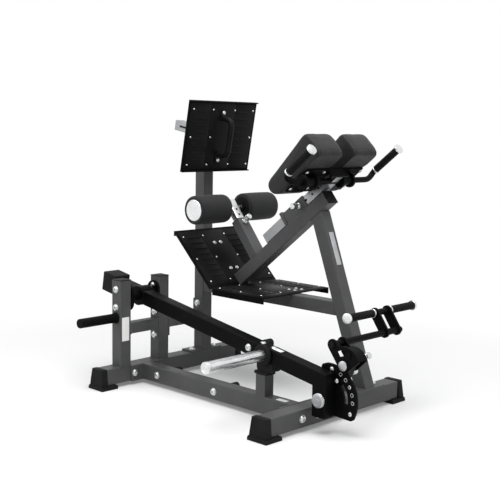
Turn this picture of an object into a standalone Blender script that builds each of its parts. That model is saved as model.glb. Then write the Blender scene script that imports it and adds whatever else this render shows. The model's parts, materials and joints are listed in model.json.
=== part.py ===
"""Glute extension bench: a welded frame with a plate-loaded lever, sliding pads, rollers and plates.

Metres, +Z up. +X runs from the lever's pivot towards its handles, +Y away from the lever's side.
The frame's own corner is where the rear cross tube's front face meets the lever's near face at the floor.
"""
import math

import bmesh
import bpy
from mathutils import Matrix, Vector

GAP = 0.0003
EDGE = 0.004
ROUND_STEPS = 16
SHAFT_STEPS = 24
HOLE_STEPS = 12
SLOT_STEPS = 8
CHAMFER = 0.001
SOFT_EDGE = 0.003
PAST = 0.010
CUTTER_CHAMFER = 0.0001
QUARTER = 0.5523

# Base
CROSS_WIDTH = 0.076
CROSS_HEIGHT = 0.076
CROSS_NEAR_Y = -0.206
CROSS_FAR_Y = 0.634
CROSS_CLEARANCE = 0.018
RAIL_LENGTH = 0.955
RAIL_WIDTH = 0.060
FLANGE_THICKNESS = 0.008
FLANGE_WIDTH = 0.200
FOOT_THICKNESS = 0.0177
FOOT_WIDTH = 0.112
FOOT_DEPTH = 0.100
FOOT_CAP_DEPTH = 0.030
FOOT_CAP_RISE = 0.002
FOOT_TOE = 0.014
PEG_RADIUS = 0.019
PEG_LENGTH = 0.090
RAIL_PEG_XS = (0.110, 0.494)
RAIL_PEG_Z = 0.055

# Posts and mast
TUBE = 0.0635
POST_TOP = 0.503
POST_NEAR_Y = -0.130
POST_FAR_Y = 0.104
TIE_DEPTH = 0.047
TIE_BOTTOM = 0.245
TIE_HEIGHT = 0.053
TIE_FLANGE_BOTTOM = 0.205
TIE_FLANGE_TOP = 0.357
TIE_FLANGE_THICKNESS = 0.006
CENTRE_Y = 0.42475
MAST_BASE_WIDTH = 0.202
MAST_BASE_THICKNESS = 0.007
STORAGE_HORN_RADIUS = 0.022
STORAGE_HORN_LENGTH = 0.210
STORAGE_HORN_Z = 0.325
STORAGE_FLANGE_RADIUS = 0.027

# Upper plate and its slide
SLIDE_BAR = 0.050
SLIDE_CLEARANCE = 0.0005
SLIDE_WALL = 0.005
UPPER_SLIDE_Z = 1.189
UPPER_SLIDE_REAR = 0.196
UPPER_SLEEVE_REAR = 0.058
UPPER_SLEEVE_FRONT = 0.052
UPPER_PLATE_TILT = math.radians(10.2)
UPPER_PLATE_LENGTH = 0.345
UPPER_PLATE_WIDTH = 0.454
UPPER_PLATE_BOTTOM_X = 0.0445
UPPER_PLATE_BOTTOM_Z = 1.001
PLATE_THICKNESS = 0.005
LIP_DEPTH = 0.012
PULL_HANDLE_SPAN = 0.236
PULL_HANDLE_REACH = 0.085
PULL_HANDLE_RADIUS = 0.0135
PULL_HANDLE_CORNER = 0.068

# Inclined tube and the pieces that slide on it
INCLINE_ANGLE = math.radians(38.7)
INCLINE_OFFSET = 0.2286
INCLINE_TOP_S = 1.183
PAD_BAR = 0.0445
PAD_BAR_WALL = 0.003
PAD_BAR_LOW_S = 0.756
PAD_BAR_TOP_S = 1.277
PAD_SLEEVE_LOW_S = 0.924
PAD_SLEEVE_TOP_S = 1.069
PAD_COLLAR_THICKNESS = 0.014
PAD_COLLAR_OVERHANG = 0.010
PAD_PIN_S = 1.030
PAD_HOLE_PITCH = 0.046
PAD_HOLE_RADIUS = 0.006
ROLLER_S = 0.652
ROLLER_BAR_DEPTH = 0.036
ROLLER_BAR_WIDTH = 0.045
ROLLER_SLEEVE_TOP_N = 0.4655
ROLLER_BAR_TOP_N = 0.5805
ROLLER_BAR_LOW_N = 0.300
ROLLER_AXLE_N = 0.5385
ROLLER_AXLE_RADIUS = 0.0125
ROLLER_RADIUS = 0.0685
ROLLER_SPAN = 0.517
ROLLER_GAP = 0.124
ROLLER_CROWN = 0.0025
ROLLER_SHOULDER = 0.014
ROLLER_COVER = 0.008
AXLE_INSET = 0.012
ROLLER_PIN_N = 0.4425

# Footplates and strut
BEAM_TOP = 0.460
BEAM_HEIGHT = 0.061
SLOPED_TOP_Z = 0.714
SLOPED_ANGLE = math.radians(44.2)
FOOTPLATE_WIDTH = 0.456
FLAT_REAR_X = 0.272
FLAT_FRONT_X = 0.599
FLAT_TOP_Z = 0.4655
SKIRT = 0.029
STRUT_LEAN = math.radians(20.3)
STRUT_FOOT_X = 0.9665
STRUT_BASE_THICKNESS = 0.008
STRUT_BASE_FRONT_X = 1.040
STRUT_BASE_REAR_X = 0.936
STRUT_BASE_WIDTH = 0.190
STOP_POST_X = 0.776
STOP_POST_WIDTH = 0.052
STOP_POST_DEPTH = 0.054
STOP_POST_TOP = 0.186
SADDLE_WIDTH = 0.078
SADDLE_HEIGHT = 0.014

# Lever
PIVOT_Z = 0.416
LEVER_TILT = math.radians(9.65)
LEVER_HEIGHT = 0.065
LEVER_TAIL_U = -0.160
DROP_AHEAD = 0.028
DROP_BEHIND = 0.041
DROP_CLEARANCE = 0.029
DROP_BOTTOM_Z = 0.070
SHAFT_RADIUS = 0.0145
SPACER_RADIUS = 0.0205
SPACER_CLEARANCE = 0.001
HUB_RADIUS = 0.046
HUB_PROUD = 0.003
BEARING_WIDTH = 0.080
BEARING_HEIGHT = 0.128
BEARING_PLATE = 0.012
BEARING_BOSS_RADIUS = 0.028
BEARING_BOSS = 0.016
TAIL_LENGTH = 0.093
TAIL_HEIGHT = 0.095
TAIL_NEAR_Y = -0.018
TAIL_FAR_Y = 0.076
TAIL_DROP = 0.045
TAIL_EDGE = 0.006
HORN_X = 0.793
HORN_Z = 0.274
HORN_RADIUS = 0.0245
HORN_LENGTH = 0.336
HORN_DISC_RADIUS = 0.046
HORN_DISC_THICKNESS = 0.014
ARM_PEG_X = 0.704
ARM_PEG_LENGTH = 0.082
STOP_BLOCK_LENGTH = 0.090

# Sector, swing arm and wrist
SECTOR_Z = 0.144
SECTOR_RADIUS = 0.142
SECTOR_THICKNESS = 0.008
SECTOR_HOLE_RADIUS = 0.119
SECTOR_HOLE_SIZE = 0.006
SECTOR_HOLE_COUNT = 5
SECTOR_HOLE_STEP = math.radians(15.6)
SECTOR_SLOT_RADIUS = 0.088
SECTOR_SLOT_WIDTH = 0.018
SECTOR_TOP_ANGLE = math.radians(96)
SECTOR_TAIL_ANGLE = math.radians(25.6)
SECTOR_TAIL_FROM = math.radians(-105)
SECTOR_TAIL_TO = math.radians(-30)
SECTOR_LOBE_ANGLE = math.radians(100)
SECTOR_LOBE_FROM = math.radians(134.4)
SECTOR_LOBE_TO = math.radians(231.6)
SWING_ANGLE = math.radians(62.5)
SWING_LENGTH = 0.164
SWING_WIDTH = 0.046
SWING_NEAR_Y = 0.070
SWING_THICKNESS = 0.040
SWING_TIP_RADIUS = 0.0125
SWING_SHAFT_RADIUS = 0.0125
SWING_KNOB_RADIUS = 0.029
SWING_KNOB_LENGTH = 0.014
SWING_BACK = math.radians(2.0)
SWING_DOWN = math.radians(64.0)
GUIDE_RADIUS = 0.0065
GUIDE_HEAD_RADIUS = 0.009
GUIDE_HEAD = 0.007
WRIST_PLATE = 0.008
WRIST_NEAR_GAP = 0.010
WRIST_FAR_GAP = 0.004
WRIST_RADIUS = 0.078
WRIST_FAR_RADIUS = 0.068
WRIST_HUB_RADIUS = 0.030
WRIST_WEB = 0.0038
WRIST_WEB_INSET = 0.0005
WRIST_GUIDE_RADIUS = 0.050
WRIST_GUIDE_PIN = 0.009
WRIST_GUIDE_HEAD = 0.0135
WRIST_SLOT_WIDTH = 0.024
WRIST_BACK = math.radians(3.0)
WRIST_DOWN = math.radians(52.0)
WRIST_CORNER = math.radians(18.0)
WRIST_TOP = math.radians(108.0)
WRIST_WEB_TRIM = math.radians(2.5)
WRIST_HUB_BACK = math.radians(63.0)
WRIST_HUB_FRONT = math.radians(66.0)
WRIST_PIN_RADIUS = 0.047
WRIST_PIN_ANGLE = math.radians(22.0)
WRIST_DISC_RADIUS = 0.0205
BAR_BACK = 0.0607268
BAR_RISE = 0.0745302
BAR_RADIUS = 0.014
BAR_NEAR_Y = 0.046
BAR_FAR_Y = 0.513
LUG_RADIUS = 0.024
LUG_BACK = math.radians(69.0)
LUG_FRONT = math.radians(97.0)
LINK_YS = (0.402, 0.488)
LINK_THICKNESS = 0.010
LINK_RADIUS = 0.0225
HANDLE_BACK = 0.054
HANDLE_RISE = 0.077
HANDLE_RADIUS = 0.014
HANDLE_NEAR_Y = 0.2105
HANDLE_FAR_Y = 0.6795
GRIP_RADIUS = 0.017
GRIP_CAP_RADIUS = 0.0225
GRIP_CAP = 0.012
GRIP_CAP_WALL = 0.004
GRIP_COLLAR = 0.007
GRIP_COLLAR_RADIUS = 0.0195
GRIP_STAND_OFF = 0.008

# Hip pads and their handle
PAD_WIDTH = 0.169
PAD_SPACING = 0.2448
PAD_HANDLE_X = 0.790
PAD_HANDLE_Z = 0.989
PAD_HANDLE_RADIUS = 0.0135
PAD_HANDLE_STRAIGHT = 0.235
PAD_GRIP_Y = 0.301
PAD_GRIP_START_X = 0.797
PAD_GRIP_START_Z = 1.031
PAD_GRIP_LENGTH = 0.164
PAD_HANDLE_SWEEP = 0.041
PAD_HANDLE_DIP = 0.030
PAD_CLAMPS = ((0.220, 0.304), (0.470, 0.553))
PAD_CLAMP_RADIUS = 0.0325
PAD_CLAMP_CORE = 0.0215
PAD_CLAMP_DISC = 0.014
PAD_BASE_LOW_S = 1.104
PAD_BASE_LENGTH = 0.192
PAD_OUTLINE = (
    (0.000, 0.000), (0.096, 0.000), (0.184, 0.000), (0.194, 0.000), (0.205, -0.008), (0.218, -0.0125),
    (0.248, -0.008), (0.281, 0.000), (0.290, 0.022), (0.285, 0.075), (0.277, 0.112), (0.268, 0.126),
    (0.241, 0.1245), (0.126, 0.109), (0.006, 0.093), (-0.030, 0.087), (-0.047, 0.072), (-0.051, 0.048),
    (-0.042, 0.023), (-0.022, 0.009))
PAD_STATIONS = ((-1.0, 0.93), (-0.975, 0.975), (-0.86, 1.0), (-0.45, 1.015), (0.45, 1.015), (0.86, 1.0),
                (0.975, 0.975), (1.0, 0.93))
CARRIER_PLATE = 0.009
CARRIER_STRAP = 0.040
CARRIER_INSET = 0.020
CARRIER_CLEARANCE = 0.0012
CARRIER_END_HALF = 0.060

# Sprung pins
PIN_RADIUS = 0.005
PIN_CLEARANCE = 0.0004
PIN_BOSS_RADIUS = 0.0105
PIN_BOSS = 0.018
PIN_KNOB_RADIUS = 0.014
PIN_KNOB = 0.026
PIN_NECK = 0.004
PIN_EDGE = 0.002
BOSS_SEAT = 0.002

NEARWARD = Vector((0, -1, 0))
FARWARD = Vector((0, 1, 0))
PIVOT_X = -TUBE / 2
MAST_NEAR_Y = CENTRE_Y - TUBE / 2
DECK_Z = CROSS_CLEARANCE + CROSS_HEIGHT
SECTOR_X = RAIL_LENGTH + CROSS_WIDTH + DROP_CLEARANCE + DROP_BEHIND
WRIST_X = SECTOR_X + SWING_LENGTH * math.cos(SWING_ANGLE)
WRIST_Z = SECTOR_Z + SWING_LENGTH * math.sin(SWING_ANGLE)
LEVER_FRONT_X = SECTOR_X + DROP_AHEAD
DROP_REAR_X = SECTOR_X - DROP_BEHIND
BAR_X = WRIST_X - BAR_BACK
BAR_Z = WRIST_Z + BAR_RISE
HANDLE_X = BAR_X - HANDLE_BACK
HANDLE_Z = BAR_Z + HANDLE_RISE
SWING_FAR_Y = SWING_NEAR_Y + SWING_THICKNESS
WRIST_NEAR_Y = SWING_NEAR_Y - WRIST_NEAR_GAP - WRIST_PLATE
WRIST_FAR_Y = SWING_FAR_Y + WRIST_FAR_GAP + WRIST_PLATE
LEVER_ALONG = Vector((math.cos(LEVER_TILT), 0, -math.sin(LEVER_TILT)))
LEVER_UP = Vector((math.sin(LEVER_TILT), 0, math.cos(LEVER_TILT)))
UPPER_ALONG = Vector((math.sin(UPPER_PLATE_TILT), 0, math.cos(UPPER_PLATE_TILT)))
UPPER_FACE = Vector((math.cos(UPPER_PLATE_TILT), 0, -math.sin(UPPER_PLATE_TILT)))
SLOPE_ALONG = Vector((math.cos(INCLINE_ANGLE), 0, math.sin(INCLINE_ANGLE)))
SLOPE_UP = Vector((-math.sin(INCLINE_ANGLE), 0, math.cos(INCLINE_ANGLE)))
INCLINE_TOP_N = INCLINE_OFFSET + TUBE / 2
PAD_BAR_N = INCLINE_TOP_N + GAP + SLIDE_WALL + SLIDE_CLEARANCE + PAD_BAR / 2
PAD_BASE_N = PAD_BAR_N + PAD_BAR / 2 + CARRIER_CLEARANCE

for old in list(bpy.data.objects):
    bpy.data.objects.remove(old, do_unlink=True)


def new_collection(name):
    made = bpy.data.collections.new(name)
    bpy.context.scene.collection.children.link(made)
    return made


BENCH = new_collection("glute_extension_bench")
CUTTERS = new_collection("cutters")


def finish_material(name, colour, roughness, metallic=0.0):
    made = bpy.data.materials.new(name)
    made.use_nodes = True
    shader = made.node_tree.nodes["Principled BSDF"]
    shader.inputs["Base Color"].default_value = (*colour, 1.0)
    shader.inputs["Roughness"].default_value = roughness
    shader.inputs["Metallic"].default_value = metallic
    return made


GREY_PAINT = finish_material("grey_paint", (0.10, 0.10, 0.105), 0.5)
BLACK_PAINT = finish_material("black_paint", (0.015, 0.015, 0.016), 0.45)
CHROME = finish_material("chrome", (0.78, 0.78, 0.79), 0.12, 1.0)
SILVER = finish_material("silver", (0.62, 0.62, 0.63), 0.35, 1.0)
BLACK_RUBBER = finish_material("black_rubber", (0.02, 0.02, 0.02), 0.8)
PAD_LEATHER = finish_material("pad_leather", (0.05, 0.05, 0.052), 0.55)
FOAM = finish_material("foam_cover", (0.035, 0.035, 0.037), 0.7)


def keep(obj, name, material, cutter=False):
    """Name an object and put it in its collection."""
    obj.name = name
    obj.data.name = name
    obj.data.materials.clear()
    for owner in list(obj.users_collection):
        owner.objects.unlink(obj)
    if cutter:
        CUTTERS.objects.link(obj)
        obj.hide_render = True
        obj.display_type = "WIRE"
        return obj
    BENCH.objects.link(obj)
    obj.data.materials.append(material)
    return obj


def make_box(low, high):
    """A box between two corners, with its own scale applied."""
    size = Vector(high) - Vector(low)
    centre = (Vector(high) + Vector(low)) / 2
    mesh = bpy.data.meshes.new("box")
    body = bmesh.new()
    bmesh.ops.create_cube(body, size=1.0, matrix=Matrix.Diagonal((*size, 1.0)))
    body.to_mesh(mesh)
    body.free()
    obj = bpy.data.objects.new("box", mesh)
    bpy.context.scene.collection.objects.link(obj)
    obj.location = centre
    return obj


def turned(profile, origin, direction, steps=ROUND_STEPS):
    """A turned piece: (radius, height) pairs from top to bottom, about a line through origin."""
    mesh = bpy.data.meshes.new("turned")
    body = bmesh.new()
    points = [body.verts.new((radius, 0, height)) for radius, height in profile]
    for first, second in zip(points, points[1:]):
        body.edges.new((first, second))
    body.to_mesh(mesh)
    body.free()
    obj = bpy.data.objects.new("turned", mesh)
    bpy.context.scene.collection.objects.link(obj)
    screw = obj.modifiers.new("screw", "SCREW")
    screw.axis = "Z"
    screw.steps = steps
    screw.render_steps = steps
    screw.use_merge_vertices = True
    screw.merge_threshold = 0.00005
    obj.rotation_euler = Vector(direction).to_track_quat("Z", "Y").to_euler()
    obj.location = origin
    return obj


def rod(start, end, radius, chamfer=CHAMFER, steps=ROUND_STEPS):
    """A solid round bar with small chamfers."""
    length = (Vector(end) - Vector(start)).length
    profile = [(0, length), (radius - chamfer, length), (radius, length - chamfer)]
    profile += [(radius, chamfer), (radius - chamfer, 0), (0, 0)]
    return turned(profile, start, Vector(end) - Vector(start), steps)


def cross_rod(x, z, low_y, high_y, radius, chamfer=CHAMFER, steps=ROUND_STEPS):
    """A round bar along Y."""
    return rod((x, low_y, z), (x, high_y, z), radius, chamfer, steps)


def bore(x, z, low_y, high_y, radius, steps=ROUND_STEPS):
    """A round cutter along Y that runs past both faces."""
    return cross_rod(x, z, low_y - PAST, high_y + PAST, radius, CUTTER_CHAMFER, steps)


def stepped(x, z, stations, chamfer=CHAMFER, steps=ROUND_STEPS):
    """A round bar along Y with shoulders: stations are (low y, high y, radius), from far to near."""
    base = stations[-1][0]
    profile = [(0, stations[0][1] - base)]
    for index, (low, high, radius) in enumerate(stations):
        top_free = index == 0 or stations[index - 1][2] < radius
        bottom_free = index == len(stations) - 1 or stations[index + 1][2] < radius
        if top_free:
            profile += [(radius - chamfer, high - base), (radius, high - base - chamfer)]
        else:
            profile.append((radius, high - base))
        if bottom_free:
            profile += [(radius, low - base + chamfer), (radius - chamfer, low - base)]
        else:
            profile.append((radius, low - base))
    profile.append((0, 0))
    return turned(profile, (x, base, z), (0, 1, 0), steps)


def ring(x, z, low_y, high_y, outer, inner, chamfer, steps):
    """A round collar along Y with a bore right through it."""
    length = high_y - low_y
    profile = [(inner, length), (outer - chamfer, length), (outer, length - chamfer)]
    profile += [(outer, chamfer), (outer - chamfer, 0), (inner, 0), (inner, length)]
    return turned(profile, (x, low_y, z), (0, 1, 0), steps)


def arc(centre, radius, start, end, count):
    """Points (x, z) along an arc, angles from +X towards +Z."""
    points = []
    for step in range(count + 1):
        angle = start + (end - start) * step / count
        points.append((centre[0] + radius * math.cos(angle), centre[1] + radius * math.sin(angle)))
    return points


def slab(outline, low_y, high_y):
    """A flat outline in the XZ plane, given thickness along Y, as a welded mesh."""
    curve = bpy.data.curves.new("outline", "CURVE")
    curve.dimensions = "2D"
    curve.fill_mode = "BOTH"
    curve.extrude = abs(high_y - low_y) / 2
    spline = curve.splines.new("POLY")
    spline.points.add(len(outline) - 1)
    for point, (x, z) in zip(spline.points, outline):
        point.co = (x, z, 0, 1)
    spline.use_cyclic_u = True
    obj = bpy.data.objects.new("outline", curve)
    bpy.context.scene.collection.objects.link(obj)
    obj.rotation_euler = (math.pi / 2, 0, 0)
    obj.location = (0, (low_y + high_y) / 2, 0)
    return as_mesh(obj)


def as_mesh(curve_object):
    """Turn a curve object into a welded mesh object in the same place."""
    bpy.context.view_layer.update()
    evaluated = curve_object.evaluated_get(bpy.context.evaluated_depsgraph_get())
    mesh = bpy.data.meshes.new_from_object(evaluated)
    body = bmesh.new()
    body.from_mesh(mesh)
    bmesh.ops.remove_doubles(body, verts=body.verts, dist=0.00002)
    bmesh.ops.recalc_face_normals(body, faces=body.faces)
    body.to_mesh(mesh)
    body.free()
    obj = bpy.data.objects.new(curve_object.name, mesh)
    bpy.context.scene.collection.objects.link(obj)
    obj.matrix_world = curve_object.matrix_world.copy()
    bpy.data.objects.remove(curve_object, do_unlink=True)
    return obj


def pipe(points, radius):
    """A round bent bar through Bezier points (point, handle before, handle after)."""
    curve = bpy.data.curves.new("pipe", "CURVE")
    curve.dimensions = "3D"
    curve.bevel_depth = radius
    curve.bevel_resolution = 3
    curve.resolution_u = 6
    curve.use_fill_caps = True
    spline = curve.splines.new("BEZIER")
    spline.bezier_points.add(len(points) - 1)
    for knot, (place, before, after) in zip(spline.bezier_points, points):
        knot.co = place
        knot.handle_left = before
        knot.handle_right = after
    obj = bpy.data.objects.new("pipe", curve)
    bpy.context.scene.collection.objects.link(obj)
    return as_mesh(obj)


def soften(obj, width=EDGE, segments=2):
    """Rounded edges on the sharp corners of a piece."""
    bevel = obj.modifiers.new("bevel", "BEVEL")
    bevel.width = width
    bevel.segments = segments
    bevel.limit_method = "ANGLE"
    bevel.angle_limit = math.radians(40)
    settle(obj)


def settle(obj):
    """Apply every modifier, so that the next one sees a plain mesh."""
    bpy.context.view_layer.update()
    evaluated = obj.evaluated_get(bpy.context.evaluated_depsgraph_get())
    mesh = bpy.data.meshes.new_from_object(evaluated)
    obj.modifiers.clear()
    obj.data = mesh


def combine(obj, other, operation):
    """One exact Boolean, applied, with the tool left among the cutters."""
    keep(other, "tool", None, cutter=True)
    modifier = obj.modifiers.new("boolean", "BOOLEAN")
    modifier.operation = operation
    modifier.solver = "EXACT"
    modifier.object = other
    settle(obj)


def join(obj, *others):
    """Fuse other pieces into one."""
    for other in others:
        combine(obj, other, "UNION")


def cut(obj, *others):
    """Take other shapes out of a piece."""
    for other in others:
        combine(obj, other, "DIFFERENCE")


def on_lever(along, up, y):
    """A point given along and square to the lever, from its pivot."""
    return Vector((PIVOT_X, y, PIVOT_Z)) + LEVER_ALONG * along + LEVER_UP * up


def on_slope(along, up, y):
    """A point given along and square to the inclined tube."""
    return SLOPE_ALONG * along + SLOPE_UP * up + Vector((0, y, 0))


def slope_box(low, high):
    """A box whose edges run along and square to the inclined tube; corners are (along, y, up)."""
    obj = make_box(low, high)
    centre = (Vector(low) + Vector(high)) / 2
    obj.location = on_slope(centre.x, centre.z, centre.y)
    obj.rotation_euler = (0, -INCLINE_ANGLE, 0)
    return obj


def lever_box(low, high):
    """A box whose edges run along and square to the lever; corners are (along, y, up)."""
    obj = make_box(low, high)
    centre = (Vector(low) + Vector(high)) / 2
    obj.location = on_lever(centre.x, centre.z, centre.y)
    obj.rotation_euler = (0, LEVER_TILT, 0)
    return obj


def make_foot(name, centre_x, end_y, outward):
    """A rubber foot: a slab under the cross tube's end and a cap against its open end."""
    seat = end_y + outward * GAP
    cap_end = end_y + outward * FOOT_CAP_DEPTH
    toe = cap_end + outward * FOOT_TOE
    slab_ys = sorted((toe - outward * FOOT_DEPTH, toe))
    foot = make_box((centre_x - FOOT_WIDTH / 2, slab_ys[0], 0),
                    (centre_x + FOOT_WIDTH / 2, slab_ys[1], FOOT_THICKNESS))
    cap_ys = sorted((seat, cap_end))
    cap = make_box((centre_x - CROSS_WIDTH / 2, cap_ys[0], FOOT_THICKNESS / 2),
                   (centre_x + CROSS_WIDTH / 2, cap_ys[1], DECK_Z + FOOT_CAP_RISE))
    soften(foot, SOFT_EDGE, 1)
    soften(cap, SOFT_EDGE, 1)
    join(foot, cap)
    keep(foot, name, BLACK_RUBBER)


def make_cross_tube(name, rear_x):
    """One of the two square tubes across the floor."""
    tube = make_box((rear_x, CROSS_NEAR_Y, CROSS_CLEARANCE), (rear_x + CROSS_WIDTH, CROSS_FAR_Y, DECK_Z))
    soften(tube)
    keep(tube, name, GREY_PAINT)


def make_base():
    """Two cross tubes on four feet, and the side rail that ties them on the lever's side."""
    for place, rear_x in (("rear", -CROSS_WIDTH), ("front", RAIL_LENGTH)):
        make_cross_tube(f"{place}_crossmember", rear_x)
        middle = rear_x + CROSS_WIDTH / 2
        make_foot(f"foot_{place}_near", middle, CROSS_NEAR_Y, -1)
        make_foot(f"foot_{place}_far", middle, CROSS_FAR_Y, 1)

    rail = make_box((GAP, 0, CROSS_CLEARANCE), (RAIL_LENGTH - GAP, RAIL_WIDTH, DECK_Z))
    soften(rail)
    flange_near = RAIL_WIDTH / 2 - FLANGE_WIDTH / 2
    for start in (GAP, RAIL_LENGTH - GAP - FLANGE_THICKNESS):
        flange = make_box((start, flange_near, CROSS_CLEARANCE),
                          (start + FLANGE_THICKNESS, flange_near + FLANGE_WIDTH, DECK_Z))
        join(rail, flange)
    post = make_box((STOP_POST_X - STOP_POST_WIDTH / 2, 0, DECK_Z - EDGE * 2),
                    (STOP_POST_X + STOP_POST_WIDTH / 2, STOP_POST_DEPTH, STOP_POST_TOP))
    join(rail, post)
    keep(rail, "side_rail", GREY_PAINT)

    far_face = RAIL_WIDTH + GAP
    for place, peg_x in zip(("rear", "front"), RAIL_PEG_XS):
        peg = cross_rod(peg_x, RAIL_PEG_Z, far_face, far_face + PEG_LENGTH, PEG_RADIUS, SOFT_EDGE)
        keep(peg, f"band_peg_{place}", BLACK_RUBBER)

    low = STOP_POST_TOP + GAP
    saddle = make_box((STOP_POST_X - SADDLE_WIDTH / 2, 0, low),
                      (STOP_POST_X + SADDLE_WIDTH / 2, STOP_POST_DEPTH, low + SADDLE_HEIGHT))
    soften(saddle, SOFT_EDGE, 1)
    keep(saddle, "stop_saddle", BLACK_RUBBER)


def make_posts():
    """The two posts that carry the lever's bearings, tied to each other and to the mast."""
    for place, near_y in (("near", POST_NEAR_Y), ("far", POST_FAR_Y)):
        post = make_box((-TUBE, near_y, DECK_Z + GAP), (0, near_y + TUBE, POST_TOP))
        soften(post)
        keep(post, f"post_{place}", GREY_PAINT)

    tie_top = TIE_BOTTOM + TIE_HEIGHT
    tie = make_box((-TIE_DEPTH, POST_NEAR_Y + TUBE + GAP, TIE_BOTTOM), (0, POST_FAR_Y - GAP, tie_top))
    soften(tie)
    keep(tie, "post_tie", GREY_PAINT)

    start = POST_FAR_Y + TUBE + GAP
    end = MAST_NEAR_Y - GAP
    tie = make_box((-TIE_DEPTH, start, TIE_BOTTOM), (0, end, tie_top))
    soften(tie)
    for flange_start in (start, end - TIE_FLANGE_THICKNESS):
        flange = make_box((-TUBE, flange_start, TIE_FLANGE_BOTTOM),
                          (0, flange_start + TIE_FLANGE_THICKNESS, TIE_FLANGE_TOP))
        join(tie, flange)
    keep(tie, "mast_tie", GREY_PAINT)

    face = POST_NEAR_Y - GAP
    shoulder = face - FLANGE_THICKNESS
    stations = [(shoulder, face, STORAGE_FLANGE_RADIUS)]
    stations.append((POST_NEAR_Y - STORAGE_HORN_LENGTH, shoulder, STORAGE_HORN_RADIUS))
    horn = stepped(PIVOT_X, STORAGE_HORN_Z, stations, SOFT_EDGE)
    keep(horn, "storage_horn", BLACK_PAINT)

    make_bearing("bearing_near", POST_NEAR_Y + TUBE + GAP, 1)
    make_bearing("bearing_far", POST_FAR_Y - GAP, -1)


def make_bearing(name, seat_y, outward):
    """A flanged bearing bolted to a post's side, bored for the pivot shaft."""
    half_width = BEARING_WIDTH / 2
    half_flat = BEARING_HEIGHT / 2 - half_width
    outline = arc((PIVOT_X, PIVOT_Z + half_flat), half_width, 0, math.pi, 10)
    outline += arc((PIVOT_X, PIVOT_Z - half_flat), half_width, math.pi, 2 * math.pi, 10)
    bearing = slab(outline, seat_y, seat_y + outward * BEARING_PLATE)
    boss_face = seat_y + outward * (BEARING_PLATE + BEARING_BOSS)
    boss_ys = sorted((seat_y + outward * BEARING_PLATE / 2, boss_face))
    join(bearing, cross_rod(PIVOT_X, PIVOT_Z, *boss_ys, BEARING_BOSS_RADIUS))
    bore_ys = sorted((seat_y, boss_face))
    cut(bearing, bore(PIVOT_X, PIVOT_Z, *bore_ys, SHAFT_RADIUS + GAP, SHAFT_STEPS))
    keep(bearing, name, BLACK_PAINT)


def sleeve_half(bar):
    """Half the outer width of a sleeve round a square bar."""
    return bar / 2 + SLIDE_CLEARANCE + SLIDE_WALL


def upper_slide_point(ahead, above):
    """A point from the middle of the upper sleeve, along its slide and square to it."""
    return Vector((PIVOT_X, CENTRE_Y, UPPER_SLIDE_Z)) + UPPER_FACE * ahead + UPPER_ALONG * above


def upper_slide_block(behind, ahead, half):
    """A square block on the upper slide's axis, half its width to each side."""
    corners = ((-behind, -half), (ahead, -half), (ahead, half), (-behind, half))
    points = [upper_slide_point(*corner) for corner in corners]
    return slab([(p.x, p.z) for p in points], CENTRE_Y - half, CENTRE_Y + half)


def make_mast():
    """The upright with its bolted base plate and the sleeve that the upper plate slides in."""
    half = sleeve_half(SLIDE_BAR)
    foot = DECK_Z + GAP
    seat = half - SLIDE_WALL / 2
    outline = [(-TUBE, foot), (0, foot)]
    for x in (0, -TUBE):
        ahead = (x - PIVOT_X + seat * UPPER_ALONG.x) / UPPER_FACE.x
        outline.append((x, upper_slide_point(ahead, -seat).z))
    mast = slab(outline, MAST_NEAR_Y, MAST_NEAR_Y + TUBE)
    soften(mast)
    base = make_box((-CROSS_WIDTH, CENTRE_Y - MAST_BASE_WIDTH / 2, foot),
                    (0, CENTRE_Y + MAST_BASE_WIDTH / 2, foot + MAST_BASE_THICKNESS))
    join(mast, base)
    sleeve = upper_slide_block(UPPER_SLEEVE_REAR, UPPER_SLEEVE_FRONT, half)
    root = Vector((PIVOT_X, CENTRE_Y - half, UPPER_SLIDE_Z))
    join(mast, sleeve, pin_boss(root, NEARWARD))
    inner = SLIDE_BAR / 2 + SLIDE_CLEARANCE
    hollow = upper_slide_block(UPPER_SLEEVE_REAR + PAST, UPPER_SLEEVE_FRONT + PAST, inner)
    cut(mast, hollow, pin_bore(root, NEARWARD, SLIDE_WALL))
    keep(mast, "mast", GREY_PAINT)
    make_pin("mast_pin", root, NEARWARD, SLIDE_WALL)


def pin_boss(root, outward):
    """The threaded body of a sprung pin, standing on a wall at root."""
    return rod(root - outward * BOSS_SEAT, root + outward * PIN_BOSS, PIN_BOSS_RADIUS)


def pin_bore(root, outward, wall):
    """The cutter for a sprung pin's hole through its body and the wall below it."""
    low = root - outward * (wall + CHAMFER)
    return rod(low, root + outward * (PIN_BOSS + PAST), PIN_RADIUS + PIN_CLEARANCE, CUTTER_CHAMFER)


def make_pin(name, root, outward, wall):
    """A sprung pin with its pull knob; its tip stops just inside the wall that it goes through."""
    tip = -wall + GAP * 2
    neck = PIN_BOSS + PIN_NECK
    end = neck + PIN_KNOB
    profile = [(0, end), (PIN_KNOB_RADIUS - PIN_EDGE, end), (PIN_KNOB_RADIUS, end - PIN_EDGE)]
    profile += [(PIN_KNOB_RADIUS, neck + PIN_EDGE), (PIN_KNOB_RADIUS - PIN_EDGE, neck), (PIN_RADIUS, neck)]
    profile += [(PIN_RADIUS, tip + CHAMFER), (PIN_RADIUS - CHAMFER, tip), (0, tip)]
    keep(turned(profile, root, outward), name, SILVER)


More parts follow.
